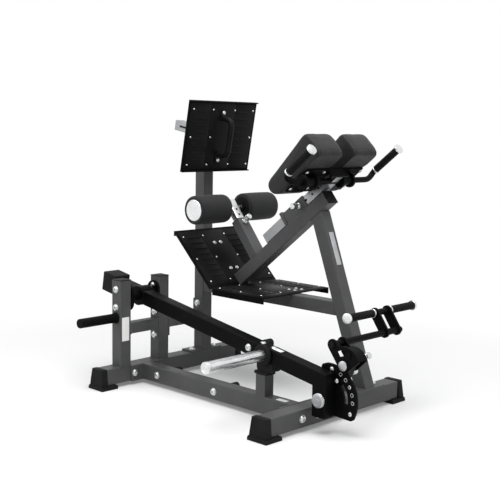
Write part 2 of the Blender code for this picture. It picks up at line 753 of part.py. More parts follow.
def make_upper_plate():
    """The tilted upper plate on its square slide bar, with a pull handle on its face."""
    along = UPPER_ALONG
    face = UPPER_FACE
    bottom = Vector((UPPER_PLATE_BOTTOM_X, CENTRE_Y, UPPER_PLATE_BOTTOM_Z))
    top = bottom + along * UPPER_PLATE_LENGTH
    lip = face * LIP_DEPTH
    wall = along * PLATE_THICKNESS
    back = face * PLATE_THICKNESS
    outline = [bottom - back, bottom + lip, bottom + lip + wall, bottom + wall]
    outline += [top - wall, top + lip - wall, top + lip, top - back]
    half_width = UPPER_PLATE_WIDTH / 2
    plate = slab([(p.x, p.z) for p in outline], CENTRE_Y - half_width, CENTRE_Y + half_width)
    keep(plate, "upper_plate", BLACK_PAINT)

    ahead = (bottom - upper_slide_point(0, 0)).dot(face) - PLATE_THICKNESS - GAP
    keep(upper_slide_block(UPPER_SLIDE_REAR, ahead, SLIDE_BAR / 2), "upper_slide_bar", SILVER)

    middle = bottom + along * UPPER_PLATE_LENGTH / 2 + face * GAP
    low = middle - along * PULL_HANDLE_SPAN / 2
    high = middle + along * PULL_HANDLE_SPAN / 2
    reach = face * PULL_HANDLE_REACH
    corner = along * PULL_HANDLE_CORNER
    low_bend = low + corner + reach
    high_bend = high - corner + reach
    points = [(low, low, low + reach * QUARTER)]
    for bend in (low_bend, high_bend):
        points.append((bend, bend - corner * QUARTER, bend + corner * QUARTER))
    points.append((high, high + reach * QUARTER, high))
    keep(pipe(points, PULL_HANDLE_RADIUS), "pull_handle", BLACK_RUBBER)


def make_incline():
    """The inclined tube, mitred to the sloped footplate."""
    low_n = INCLINE_OFFSET - TUBE / 2
    high_n = INCLINE_TOP_N
    foot = sloped_line(GAP)
    outline = [slope_meets(foot, low_n), on_slope(INCLINE_TOP_S, low_n, 0)]
    outline += [on_slope(INCLINE_TOP_S, high_n, 0), slope_meets(foot, high_n)]
    tube = slab([(p.x, p.z) for p in outline], MAST_NEAR_Y, MAST_NEAR_Y + TUBE)
    soften(tube)
    keep(tube, "incline_tube", GREY_PAINT)


def sloped_line(lift):
    """A point and direction of the sloped footplate's upper face, lifted by a clearance."""
    down = Vector((math.cos(SLOPED_ANGLE), 0, -math.sin(SLOPED_ANGLE)))
    out = Vector((math.sin(SLOPED_ANGLE), 0, math.cos(SLOPED_ANGLE)))
    return Vector((GAP, 0, SLOPED_TOP_Z)) + out * lift, down


def slope_meets(line, n):
    """Where a line in the XZ plane meets the height n above the inclined tube's zero line."""
    point, direction = line
    distance = (n - point.dot(SLOPE_UP)) / direction.dot(SLOPE_UP)
    return point + direction * distance


def make_pad_slide():
    """The sleeve on the inclined tube, and the hollow bar in it that carries the hip pads."""
    half = sleeve_half(PAD_BAR)
    low = INCLINE_TOP_N + GAP
    top = low + 2 * half
    sleeve = slope_box((PAD_SLEEVE_LOW_S, CENTRE_Y - half, low), (PAD_SLEEVE_TOP_S, CENTRE_Y + half, top))
    collar_low = PAD_SLEEVE_LOW_S - PAD_COLLAR_THICKNESS
    collar_half = half + PAD_COLLAR_OVERHANG / 2
    collar = slope_box((collar_low, CENTRE_Y - collar_half, low),
                       (PAD_SLEEVE_LOW_S + GAP, CENTRE_Y + collar_half, top + PAD_COLLAR_OVERHANG))
    root = on_slope(PAD_PIN_S, PAD_BAR_N, CENTRE_Y - half)
    join(sleeve, collar, pin_boss(root, NEARWARD))
    inner = PAD_BAR / 2 + SLIDE_CLEARANCE
    hollow = slope_box((collar_low - PAST, CENTRE_Y - inner, PAD_BAR_N - inner),
                       (PAD_SLEEVE_TOP_S + PAST, CENTRE_Y + inner, PAD_BAR_N + inner))
    cut(sleeve, hollow, pin_bore(root, NEARWARD, SLIDE_WALL))
    keep(sleeve, "pad_sleeve", GREY_PAINT)
    make_pin("pad_pin", root, NEARWARD, SLIDE_WALL)

    half = PAD_BAR / 2
    bar = slope_box((PAD_BAR_LOW_S, CENTRE_Y - half, PAD_BAR_N - half),
                    (PAD_BAR_TOP_S, CENTRE_Y + half, PAD_BAR_N + half))
    inner = half - PAD_BAR_WALL
    cut(bar, slope_box((PAD_BAR_LOW_S - PAST, CENTRE_Y - inner, PAD_BAR_N - inner),
                       (PAD_BAR_TOP_S + PAST, CENTRE_Y + inner, PAD_BAR_N + inner)))
    cut(bar, bore(PAD_HANDLE_X, PAD_HANDLE_Z, CENTRE_Y - half, CENTRE_Y + half, PAD_HANDLE_RADIUS + GAP * 2))
    handle_s = Vector((PAD_HANDLE_X, 0, PAD_HANDLE_Z)).dot(SLOPE_ALONG)
    spot = PAD_PIN_S
    while spot < handle_s - PAD_HANDLE_RADIUS - PAD_HOLE_PITCH / 2:
        place = on_slope(spot, PAD_BAR_N, 0)
        cut(bar, bore(place.x, place.z, CENTRE_Y - half, CENTRE_Y + half, PAD_HOLE_RADIUS, HOLE_STEPS))
        spot += PAD_HOLE_PITCH
    keep(bar, "pad_slide_bar", SILVER)


def make_roller_slide():
    """The sleeve square to the inclined tube, and the post in it that carries the foam rollers."""
    low = INCLINE_TOP_N + GAP
    half_s = sleeve_half(ROLLER_BAR_DEPTH)
    half_y = TUBE / 2
    sleeve = slope_box((ROLLER_S - half_s, CENTRE_Y - half_y, low),
                       (ROLLER_S + half_s, CENTRE_Y + half_y, ROLLER_SLEEVE_TOP_N))
    root = on_slope(ROLLER_S + half_s, ROLLER_PIN_N, CENTRE_Y)
    join(sleeve, pin_boss(root, SLOPE_ALONG))
    inner_s = ROLLER_BAR_DEPTH / 2 + SLIDE_CLEARANCE
    inner_y = ROLLER_BAR_WIDTH / 2 + SLIDE_CLEARANCE
    hollow = slope_box((ROLLER_S - inner_s, CENTRE_Y - inner_y, low + SLIDE_WALL),
                       (ROLLER_S + inner_s, CENTRE_Y + inner_y, ROLLER_SLEEVE_TOP_N + PAST))
    cut(sleeve, hollow, pin_bore(root, SLOPE_ALONG, SLIDE_WALL))
    keep(sleeve, "roller_sleeve", GREY_PAINT)
    make_pin("roller_pin", root, SLOPE_ALONG, SLIDE_WALL)

    bar_s = ROLLER_BAR_DEPTH / 2
    bar_y = ROLLER_BAR_WIDTH / 2
    bar = slope_box((ROLLER_S - bar_s, CENTRE_Y - bar_y, ROLLER_BAR_LOW_N),
                    (ROLLER_S + bar_s, CENTRE_Y + bar_y, ROLLER_BAR_TOP_N))
    soften(bar, SOFT_EDGE, 1)
    axle = on_slope(ROLLER_S, ROLLER_AXLE_N, 0)
    cut(bar, bore(axle.x, axle.z, CENTRE_Y - bar_y, CENTRE_Y + bar_y, ROLLER_AXLE_RADIUS + GAP))
    keep(bar, "roller_post", CHROME)
    reach = ROLLER_SPAN / 2 - AXLE_INSET
    axle_bar = cross_rod(axle.x, axle.z, CENTRE_Y - reach, CENTRE_Y + reach, ROLLER_AXLE_RADIUS)
    keep(axle_bar, "roller_axle", SILVER)

    length = ROLLER_SPAN / 2 - ROLLER_GAP / 2
    for place, side in (("near", -1), ("far", 1)):
        start = on_slope(ROLLER_S, ROLLER_AXLE_N, CENTRE_Y + side * ROLLER_GAP / 2)
        roller = turned(roller_profile(length), start, (0, side, 0), SHAFT_STEPS)
        keep(roller, f"roller_{place}", FOAM)


def roller_profile(length):
    """Half-section of a foam roller: crowned, round-shouldered, bored for its axle, closed outside."""
    edge = ROLLER_RADIUS - ROLLER_CROWN
    round_x = edge - ROLLER_SHOULDER
    points = [(0, length)]
    points += arc((round_x, length - ROLLER_SHOULDER), ROLLER_SHOULDER, math.pi / 2, 0, 3)
    for step in range(1, 5):
        share = step / 5
        height = length - ROLLER_SHOULDER - (length - 2 * ROLLER_SHOULDER) * share
        points.append((edge + ROLLER_CROWN * math.sin(math.pi * share), height))
    points += arc((round_x, ROLLER_SHOULDER), ROLLER_SHOULDER, 0, -math.pi / 2, 3)
    inner = ROLLER_AXLE_RADIUS + GAP * 2
    points += [(inner, 0), (inner, length - ROLLER_COVER), (0, length - ROLLER_COVER)]
    return points


def make_footplates():
    """The beam from mast to strut, and the sloped and flat footplates on it."""
    half = BEAM_HEIGHT / 2
    front_x = strut_back_x(BEAM_TOP - half) - GAP / math.cos(STRUT_LEAN)
    slant = math.tan(STRUT_LEAN) * half
    low_z = BEAM_TOP - BEAM_HEIGHT
    outline = [(GAP, low_z), (front_x + slant, low_z), (front_x - slant, BEAM_TOP), (GAP, BEAM_TOP)]
    beam = slab(outline, MAST_NEAR_Y, MAST_NEAR_Y + TUBE)
    soften(beam)
    keep(beam, "footplate_beam", GREY_PAINT)

    half_width = FOOTPLATE_WIDTH / 2
    top, down = sloped_line(0)
    out = Vector((math.sin(SLOPED_ANGLE), 0, math.cos(SLOPED_ANGLE)))
    under = out * -PLATE_THICKNESS
    low = top + down * ((top.z + under.z - BEAM_TOP - GAP) / -down.z)
    inner = top + under
    lip_face = top.x + PLATE_THICKNESS
    inner += down * ((lip_face - inner.x) / down.x)
    lip_end = inner.z - LIP_DEPTH
    outline = [(top.x, top.z), (low.x, low.z), (low.x + under.x, low.z + under.z), (inner.x, inner.z)]
    outline += [(lip_face, lip_end), (top.x, lip_end)]
    plate = slab(outline, CENTRE_Y - half_width, CENTRE_Y + half_width)
    keep(plate, "sloped_footplate", BLACK_PAINT)

    plate = make_box((FLAT_REAR_X, CENTRE_Y - half_width, BEAM_TOP + GAP),
                     (FLAT_FRONT_X, CENTRE_Y + half_width, FLAT_TOP_Z))
    for side in (-1, 1):
        edge = CENTRE_Y + side * half_width
        skirt_ys = sorted((edge, edge - side * PLATE_THICKNESS))
        skirt = make_box((FLAT_REAR_X, skirt_ys[0], FLAT_TOP_Z - SKIRT),
                         (FLAT_FRONT_X, skirt_ys[1], FLAT_TOP_Z - PLATE_THICKNESS / 2))
        join(plate, skirt)
    keep(plate, "flat_footplate", BLACK_PAINT)


def strut_back_x(z):
    """The strut's rear face at a height."""
    return STRUT_FOOT_X - (z - DECK_Z - STRUT_BASE_THICKNESS) * math.tan(STRUT_LEAN)


def make_strut():
    """The leaning front strut with its base plate, cut square to the inclined tube's underside."""
    foot_z = DECK_Z + STRUT_BASE_THICKNESS / 2
    under = INCLINE_OFFSET - TUBE / 2 - GAP
    lean = Vector((-math.sin(STRUT_LEAN), 0, math.cos(STRUT_LEAN)))
    rear = Vector((strut_back_x(foot_z), 0, foot_z))
    front = rear + Vector((TUBE / math.cos(STRUT_LEAN), 0, 0))
    rear_top = rear + lean * ((under - rear.dot(SLOPE_UP)) / lean.dot(SLOPE_UP))
    front_top = front + lean * ((under - front.dot(SLOPE_UP)) / lean.dot(SLOPE_UP))
    outline = [(p.x, p.z) for p in (rear, front, front_top, rear_top)]
    strut = slab(outline, MAST_NEAR_Y, MAST_NEAR_Y + TUBE)
    soften(strut)
    base = make_box((STRUT_BASE_REAR_X, CENTRE_Y - STRUT_BASE_WIDTH / 2, DECK_Z + GAP),
                    (STRUT_BASE_FRONT_X, CENTRE_Y + STRUT_BASE_WIDTH / 2, DECK_Z + STRUT_BASE_THICKNESS))
    join(strut, base)
    keep(strut, "front_strut", GREY_PAINT)


def make_lever():
    """The lever beam with its pivot shaft, hub and drop bracket."""
    slope = math.tan(LEVER_TILT)
    rise = LEVER_HEIGHT / 2 / math.cos(LEVER_TILT)
    tail = on_lever(LEVER_TAIL_U, 0, 0)
    tail_low = tail - LEVER_UP * LEVER_HEIGHT / 2
    tail_high = tail + LEVER_UP * LEVER_HEIGHT / 2
    front_mid = PIVOT_Z - (LEVER_FRONT_X - PIVOT_X) * slope
    drop_mid = PIVOT_Z - (DROP_REAR_X - PIVOT_X) * slope
    outline = [(tail_low.x, tail_low.z), (DROP_REAR_X, drop_mid - rise), (DROP_REAR_X, DROP_BOTTOM_Z)]
    outline += [(LEVER_FRONT_X, DROP_BOTTOM_Z), (LEVER_FRONT_X, front_mid + rise), (tail_high.x, tail_high.z)]
    beam = slab(outline, 0, RAIL_WIDTH)
    soften(beam)
    shaft_near = POST_NEAR_Y + TUBE + GAP * 2
    shaft_far = POST_FAR_Y - GAP * 2
    bearing_depth = BEARING_PLATE + BEARING_BOSS + SPACER_CLEARANCE
    spacer_near = shaft_near + bearing_depth
    spacer_far = shaft_far - bearing_depth
    hub_near = -HUB_PROUD
    hub_far = RAIL_WIDTH + HUB_PROUD
    stations = [(spacer_far, shaft_far, SHAFT_RADIUS), (hub_far, spacer_far, SPACER_RADIUS)]
    stations.append((hub_near, hub_far, HUB_RADIUS))
    stations += [(spacer_near, hub_near, SPACER_RADIUS), (shaft_near, spacer_near, SHAFT_RADIUS)]
    join(beam, stepped(PIVOT_X, PIVOT_Z, stations, CHAMFER, SHAFT_STEPS))
    cut(beam, bore(SECTOR_X, SECTOR_Z, 0, RAIL_WIDTH, SWING_SHAFT_RADIUS + GAP))
    keep(beam, "lever_beam", BLACK_PAINT)


def make_lever_fittings():
    """What is fixed to the lever: tail block, weight horn with its disc, band peg and rubber stop."""
    start = LEVER_TAIL_U - GAP
    block = lever_box((start - TAIL_LENGTH, TAIL_NEAR_Y, -TAIL_DROP),
                      (start, TAIL_FAR_Y, TAIL_HEIGHT - TAIL_DROP))
    soften(block, TAIL_EDGE)
    keep(block, "tail_block", BLACK_RUBBER)

    face = -GAP
    horn = cross_rod(HORN_X, HORN_Z, face - HORN_LENGTH, face, HORN_RADIUS, SOFT_EDGE, SHAFT_STEPS)
    keep(horn, "weight_horn", CHROME)
    disc = ring(HORN_X, HORN_Z, face - HORN_DISC_THICKNESS, face, HORN_DISC_RADIUS,
                HORN_RADIUS + GAP, SOFT_EDGE, SHAFT_STEPS)
    keep(disc, "horn_stop_disc", BLACK_RUBBER)

    slope = math.tan(LEVER_TILT)
    far = RAIL_WIDTH + GAP
    peg_z = PIVOT_Z - (ARM_PEG_X - PIVOT_X) * slope
    peg = cross_rod(ARM_PEG_X, peg_z, far, far + ARM_PEG_LENGTH, PEG_RADIUS, SOFT_EDGE)
    keep(peg, "band_peg_lever", BLACK_RUBBER)

    rest_z = STOP_POST_TOP + SADDLE_HEIGHT + GAP * 2
    rise = LEVER_HEIGHT / 2 / math.cos(LEVER_TILT) + GAP
    rear_x = STOP_POST_X - STOP_POST_WIDTH / 2
    front_x = rear_x + STOP_BLOCK_LENGTH
    rear_top = PIVOT_Z - (rear_x - PIVOT_X) * slope - rise
    front_top = PIVOT_Z - (front_x - PIVOT_X) * slope - rise
    rounding = (front_top - rest_z) / 2
    round_z = rest_z + rounding
    outline = [(rear_x, rear_top)]
    outline += arc((rear_x + rounding, round_z), rounding, math.pi, math.pi * 1.5, 5)
    outline += arc((front_x - rounding, round_z), rounding, math.pi * 1.5, math.pi * 2, 5)
    outline.append((front_x, front_top))
    keep(slab(outline, EDGE, RAIL_WIDTH - EDGE), "rubber_stop", BLACK_RUBBER)


def sector_point(radius, angle):
    return (SECTOR_X + radius * math.cos(angle), SECTOR_Z + radius * math.sin(angle))


def wrist_point(radius, angle):
    return (WRIST_X + radius * math.cos(angle), WRIST_Z + radius * math.sin(angle))


def slot_cutter(place, radius, width, start, end, low_y, high_y):
    """A curved slot with square ends, between two angles about a pivot, running past both faces."""
    shares = [step / SLOT_STEPS for step in range(SLOT_STEPS + 1)]
    outline = [place(radius + width / 2, start + (end - start) * share) for share in shares]
    outline += [place(radius - width / 2, end + (start - end) * share) for share in shares]
    return slab(outline, low_y - PAST, high_y + PAST)


def make_sector():
    """The drilled sector plate bolted to the drop bracket."""
    near = RAIL_WIDTH + GAP
    far = near + SECTOR_THICKNESS
    last = SWING_ANGLE - SECTOR_HOLE_STEP * (SECTOR_HOLE_COUNT - 1)
    corner = SECTOR_RADIUS - SECTOR_HOLE_RADIUS
    tail = sector_point(SECTOR_HOLE_RADIUS, last - SECTOR_TAIL_ANGLE)
    outline = arc(tail, corner, SECTOR_TAIL_FROM, SECTOR_TAIL_TO, 5)
    outline += arc((SECTOR_X, SECTOR_Z), SECTOR_RADIUS, last - SECTOR_TAIL_ANGLE, SECTOR_TOP_ANGLE, 16)
    lobe = sector_point(SECTOR_HOLE_RADIUS, SECTOR_LOBE_ANGLE)
    outline += arc(lobe, corner, SECTOR_LOBE_FROM, SECTOR_LOBE_TO, 5)
    back = DROP_REAR_X + EDGE
    bottom = DROP_BOTTOM_Z + EDGE
    outline += [(back, SECTOR_Z + SECTOR_RADIUS / 2), (back, bottom), (LEVER_FRONT_X, bottom)]
    plate = slab(outline, near, far)
    for step in range(SECTOR_HOLE_COUNT):
        x, z = sector_point(SECTOR_HOLE_RADIUS, SWING_ANGLE - SECTOR_HOLE_STEP * step)
        cut(plate, bore(x, z, near, far, SECTOR_HOLE_SIZE, HOLE_STEPS))
    room = math.asin((GUIDE_RADIUS + GAP * 3) / SECTOR_SLOT_RADIUS)
    slot = slot_cutter(sector_point, SECTOR_SLOT_RADIUS, SECTOR_SLOT_WIDTH, SWING_ANGLE - SWING_DOWN - room,
                       SWING_ANGLE + SWING_BACK + room, near, far)
    cut(plate, slot, bore(SECTOR_X, SECTOR_Z, near, far, SWING_SHAFT_RADIUS + GAP))
    keep(plate, "sector_plate", BLACK_PAINT)


def make_swing():
    """The arm that swings on the drop bracket's shaft, with its guide pins and sprung pin."""
    half = SWING_WIDTH / 2
    left = SWING_ANGLE + math.pi / 2
    right = SWING_ANGLE - math.pi / 2
    tip = wrist_point(WRIST_GUIDE_RADIUS, SWING_ANGLE)
    outline = arc(tip, SWING_TIP_RADIUS, right, left, 6)
    outline.append(wrist_point(half, left))
    outline += arc((SECTOR_X, SECTOR_Z), half, left, left + math.pi, 8)
    outline.append(wrist_point(half, right))
    arm = slab(outline, SWING_NEAR_Y, SWING_FAR_Y)
    soften(arm, EDGE / 2, 1)
    guide_x, guide_z = sector_point(SECTOR_SLOT_RADIUS, SWING_ANGLE)
    seat = RAIL_WIDTH
    stations = [(seat, SWING_NEAR_Y + WRIST_PLATE, GUIDE_RADIUS)]
    stations.append((seat - GUIDE_HEAD, seat, GUIDE_HEAD_RADIUS))
    guide = stepped(guide_x, guide_z, stations)
    seat = WRIST_NEAR_Y - GAP
    stations = [(seat, WRIST_FAR_Y + GAP, WRIST_GUIDE_PIN), (seat - GUIDE_HEAD, seat, WRIST_GUIDE_HEAD)]
    wrist_guide = stepped(*tip, stations)
    pin_x, pin_z = sector_point(SECTOR_HOLE_RADIUS, SWING_ANGLE)
    root = Vector((pin_x, SWING_FAR_Y, pin_z))
    join(arm, guide, wrist_guide, pin_boss(root, FARWARD))
    for x, z in ((SECTOR_X, SECTOR_Z), (WRIST_X, WRIST_Z)):
        cut(arm, bore(x, z, SWING_NEAR_Y, SWING_FAR_Y, SWING_SHAFT_RADIUS + GAP))
    cut(arm, pin_bore(root, FARWARD, SWING_THICKNESS))
    keep(arm, "swing_arm", BLACK_PAINT)
    make_pin("swing_pin", root, FARWARD, SWING_THICKNESS)

    stations = [(-GAP, SWING_FAR_Y, SWING_SHAFT_RADIUS), (-GAP - SWING_KNOB_LENGTH, -GAP, SWING_KNOB_RADIUS)]
    keep(stepped(SECTOR_X, SECTOR_Z, stations, EDGE / 2), "swing_shaft", SILVER)


def wrist_cheek(radius, low_y):
    """One cheek of the wrist bracket: a fan on the wrist's axis with a lug round the cross bar."""
    centre = (WRIST_X, WRIST_Z)
    lug = math.atan2(BAR_Z - WRIST_Z, BAR_X - WRIST_X)
    outline = arc(centre, radius, WRIST_CORNER, WRIST_TOP, 10)
    outline += arc((BAR_X, BAR_Z), LUG_RADIUS, lug - LUG_BACK, lug + LUG_FRONT, 6)
    hub_end = WRIST_CORNER + 2 * math.pi - WRIST_HUB_FRONT
    outline += arc(centre, WRIST_HUB_RADIUS, lug + WRIST_HUB_BACK, hub_end, 6)
    return slab(outline, low_y, low_y + WRIST_PLATE)


def make_wrist():
    """The two-cheeked bracket at the swing arm's end, with its pivot and sprung pin."""
    centre = (WRIST_X, WRIST_Z)
    bracket = wrist_cheek(WRIST_RADIUS, WRIST_NEAR_Y)
    far_plate = wrist_cheek(WRIST_FAR_RADIUS, WRIST_FAR_Y - WRIST_PLATE)
    web_low = WRIST_CORNER + WRIST_WEB_TRIM
    web_high = WRIST_TOP - WRIST_WEB_TRIM
    web_radius = WRIST_FAR_RADIUS - WRIST_WEB_INSET
    outline = arc(centre, web_radius, web_low, web_high, 8)
    outline += arc(centre, web_radius - WRIST_WEB, web_high, web_low, 8)
    web = slab(outline, WRIST_NEAR_Y + WRIST_PLATE / 2, WRIST_FAR_Y - WRIST_PLATE / 2)
    pin_x, pin_z = wrist_point(WRIST_PIN_RADIUS, WRIST_CORNER + WRIST_PIN_ANGLE)
    root = Vector((pin_x, WRIST_FAR_Y, pin_z))
    join(bracket, web, far_plate, pin_boss(root, FARWARD))
    room = math.asin((WRIST_GUIDE_PIN + GAP * 3) / WRIST_GUIDE_RADIUS)
    slot = slot_cutter(wrist_point, WRIST_GUIDE_RADIUS, WRIST_SLOT_WIDTH, SWING_ANGLE - WRIST_BACK - room,
                       SWING_ANGLE + WRIST_DOWN + room, WRIST_NEAR_Y, WRIST_FAR_Y)
    cut(bracket, slot, bore(*centre, WRIST_NEAR_Y, WRIST_FAR_Y, SWING_SHAFT_RADIUS + GAP))
    cut(bracket, bore(BAR_X, BAR_Z, WRIST_NEAR_Y, WRIST_FAR_Y, BAR_RADIUS + GAP))
    cut(bracket, pin_bore(root, FARWARD, WRIST_PLATE))
    keep(bracket, "wrist_bracket", BLACK_PAINT)
    make_pin("wrist_pin", root, FARWARD, WRIST_PLATE)

    face = WRIST_NEAR_Y - GAP
    stations = [(face, WRIST_FAR_Y + GAP * 2, SWING_SHAFT_RADIUS)]
    stations.append((face - GUIDE_HEAD, face, WRIST_DISC_RADIUS))
    keep(stepped(*centre, stations), "wrist_pivot", SILVER)


def make_handles():
    """The cross bar through the wrist bracket, and the gripped handle bar on its two links."""
    bar = cross_rod(BAR_X, BAR_Z, BAR_NEAR_Y, BAR_FAR_Y, BAR_RADIUS, EDGE / 2)
    keep(bar, "cross_bar", BLACK_PAINT)

    tilt = math.atan2(HANDLE_Z - BAR_Z, HANDLE_X - BAR_X)
    handle = cross_rod(HANDLE_X, HANDLE_Z, HANDLE_NEAR_Y, HANDLE_FAR_Y, HANDLE_RADIUS, EDGE / 2)
    for link_y in LINK_YS:
        low_y = link_y - LINK_THICKNESS / 2
        high_y = link_y + LINK_THICKNESS / 2
        outline = arc((HANDLE_X, HANDLE_Z), LINK_RADIUS, tilt - math.pi / 2, tilt + math.pi / 2, 8)
        outline += arc((BAR_X, BAR_Z), LINK_RADIUS, tilt + math.pi / 2, tilt + math.pi * 1.5, 8)
        link = slab(outline, low_y, high_y)
        cut(link, bore(BAR_X, BAR_Z, low_y, high_y, BAR_RADIUS + GAP))
        join(handle, link)
    keep(handle, "handle_bar", BLACK_PAINT)

    inner = LINK_THICKNESS / 2 + GRIP_STAND_OFF
    near_start = LINK_YS[0] - inner
    far_start = LINK_YS[1] + inner
    ends = (("near", near_start, HANDLE_NEAR_Y), ("far", far_start, HANDLE_FAR_Y))
    for place, start_y, end_y in ends:
        outward = (0, math.copysign(1, end_y - start_y), 0)
        profile = grip_profile(abs(end_y - start_y), HANDLE_RADIUS)
        grip = turned(profile, (HANDLE_X, start_y, HANDLE_Z), outward)
        keep(grip, f"handle_grip_{place}", BLACK_RUBBER)


def grip_profile(bar_length, bar_radius):
    """A grip and its end cap over a bar's end: bored, closed at the outer end, collared inside."""
    inner = bar_radius + GAP
    length = bar_length + GRIP_CAP_WALL
    points = [(0, length), (GRIP_CAP_RADIUS - EDGE / 2, length), (GRIP_CAP_RADIUS, length - EDGE / 2)]
    points += [(GRIP_CAP_RADIUS, length - GRIP_CAP), (GRIP_RADIUS, length - GRIP_CAP)]
    points += [(GRIP_RADIUS, GRIP_COLLAR), (GRIP_COLLAR_RADIUS, GRIP_COLLAR)]
    points += [(GRIP_COLLAR_RADIUS, 0), (inner, 0), (inner, bar_length + GAP), (0, bar_length + GAP)]
    return points


def make_pad_carrier():
    """The welded carrier: a seat plate under each pad, straps over the bar, an end plate and clamps."""
    half = PAD_BAR / 2
    strap_low = PAD_BAR_N + half + GAP
    strap_top = strap_low + CARRIER_PLATE
    seat_top = PAD_BASE_N - GAP
    seat_low = seat_top - CARRIER_PLATE
    inner = half + GAP
    outer = PAD_SPACING / 2 + PAD_WIDTH / 2 - CARRIER_INSET
    between = PAD_SPACING / 2 - PAD_WIDTH / 2 - CARRIER_CLEARANCE
    low_s = PAD_BASE_LOW_S + CARRIER_INSET
    end_s = PAD_BAR_TOP_S + GAP
    high_s = end_s + CARRIER_PLATE

    carrier = slope_box((end_s, CENTRE_Y - CARRIER_END_HALF, PAD_BAR_N - half),
                        (high_s, CENTRE_Y + CARRIER_END_HALF, seat_low + CARRIER_PLATE / 2))
    for side in (-1, 1):
        seat_ys = sorted((CENTRE_Y + side * inner, CENTRE_Y + side * outer))
        join(carrier, slope_box((low_s, seat_ys[0], seat_low), (high_s, seat_ys[1], seat_top)))
        riser_ys = sorted((CENTRE_Y + side * inner, CENTRE_Y + side * between))
        join(carrier, slope_box((low_s, riser_ys[0], seat_low - GAP), (high_s, riser_ys[1], strap_top)))
    strap_half = half + CARRIER_CLEARANCE
    for start in (low_s, high_s - CARRIER_STRAP):
        join(carrier, slope_box((start, CENTRE_Y - strap_half, strap_low),
                                (start + CARRIER_STRAP, CENTRE_Y + strap_half, strap_top - GAP)))
    for low_y, high_y in PAD_CLAMPS:
        stations = [(high_y - PAD_CLAMP_DISC, high_y, PAD_CLAMP_RADIUS),
                    (low_y + PAD_CLAMP_DISC, high_y - PAD_CLAMP_DISC, PAD_CLAMP_CORE),
                    (low_y, low_y + PAD_CLAMP_DISC, PAD_CLAMP_RADIUS)]
        join(carrier, stepped(PAD_HANDLE_X, PAD_HANDLE_Z, stations, EDGE / 2))
    cut(carrier, bore(PAD_HANDLE_X, PAD_HANDLE_Z, PAD_CLAMPS[0][0], PAD_CLAMPS[1][1],
                      PAD_HANDLE_RADIUS + GAP * 2))
    keep(carrier, "pad_carrier", BLACK_PAINT)


def make_pad(name, centre_y):
    """One hip pad: a crowned wedge, drawn in at its ends, smoothed from a coarse cage."""
    middle_s = PAD_BASE_LOW_S + PAD_BASE_LENGTH / 2
    half = PAD_WIDTH / 2
    mesh = bpy.data.meshes.new(name)
    body = bmesh.new()
    rings = []
    for share, scale in PAD_STATIONS:
        ring_points = []
        for along, height in PAD_OUTLINE:
            offset = PAD_BASE_LOW_S + along - middle_s
            place = on_slope(middle_s + offset * min(scale, 1.0), PAD_BASE_N + height * scale,
                             centre_y + share * half)
            ring_points.append(body.verts.new(place))
        rings.append(ring_points)
    count = len(PAD_OUTLINE)
    for first, second in zip(rings, rings[1:]):
        for index in range(count):
            after = (index + 1) % count
            body.faces.new((first[index], first[after], second[after], second[index]))
    body.faces.new(rings[0])
    body.faces.new(list(reversed(rings[-1])))
    bmesh.ops.recalc_face_normals(body, faces=body.faces)
    body.to_mesh(mesh)
    body.free()
    obj = bpy.data.objects.new(name, mesh)
    bpy.context.scene.collection.objects.link(obj)
    smooth = obj.modifiers.new("subdivision", "SUBSURF")
    smooth.levels = 1
    smooth.render_levels = 1
    keep(obj, name, PAD_LEATHER)


def make_pad_handle():
    """The bent handle tube below the pads, with a grip on each upturned end."""
    grip = SLOPE_ALONG * PAD_GRIP_LENGTH
    across = Vector((0, PAD_HANDLE_SWEEP, 0))
    dip = SLOPE_ALONG * PAD_HANDLE_DIP
    third = Vector((0, PAD_HANDLE_STRAIGHT / 3, 0))
    sides = []
    for side in (-1, 1):
        start = Vector((PAD_GRIP_START_X, CENTRE_Y + side * PAD_GRIP_Y, PAD_GRIP_START_Z))
        low = Vector((PAD_HANDLE_X, CENTRE_Y + side * PAD_HANDLE_STRAIGHT, PAD_HANDLE_Z))
        end = start + grip
        sides.append([(end, end, end - grip / 3), (start, start + grip / 3, start - dip),
                      (low, low + across * side, low - third * side)])
        hold = turned(grip_profile(PAD_GRIP_LENGTH, PAD_HANDLE_RADIUS + GAP), start, SLOPE_ALONG)
        keep(hold, "pad_grip_near" if side < 0 else "pad_grip_far", BLACK_RUBBER)
    near, far = sides
    points = near + [(place, after, before) for place, before, after in reversed(far)]
    keep(pipe(points, PAD_HANDLE_RADIUS), "pad_handle", BLACK_PAINT)


def hang_on_axis(name, point, held):
    """Parent the pieces of one moving body, and the axes it carries, to an empty on its joint's axis."""
    axis = bpy.data.objects.new(name, None)
    BENCH.objects.link(axis)
    axis.empty_display_size = 0.05
    axis.location = point
    bpy.context.view_layer.update()
    for child in held:
        piece = bpy.data.objects[child]
        piece.parent = axis
        piece.matrix_parent_inverse = axis.matrix_world.inverted()


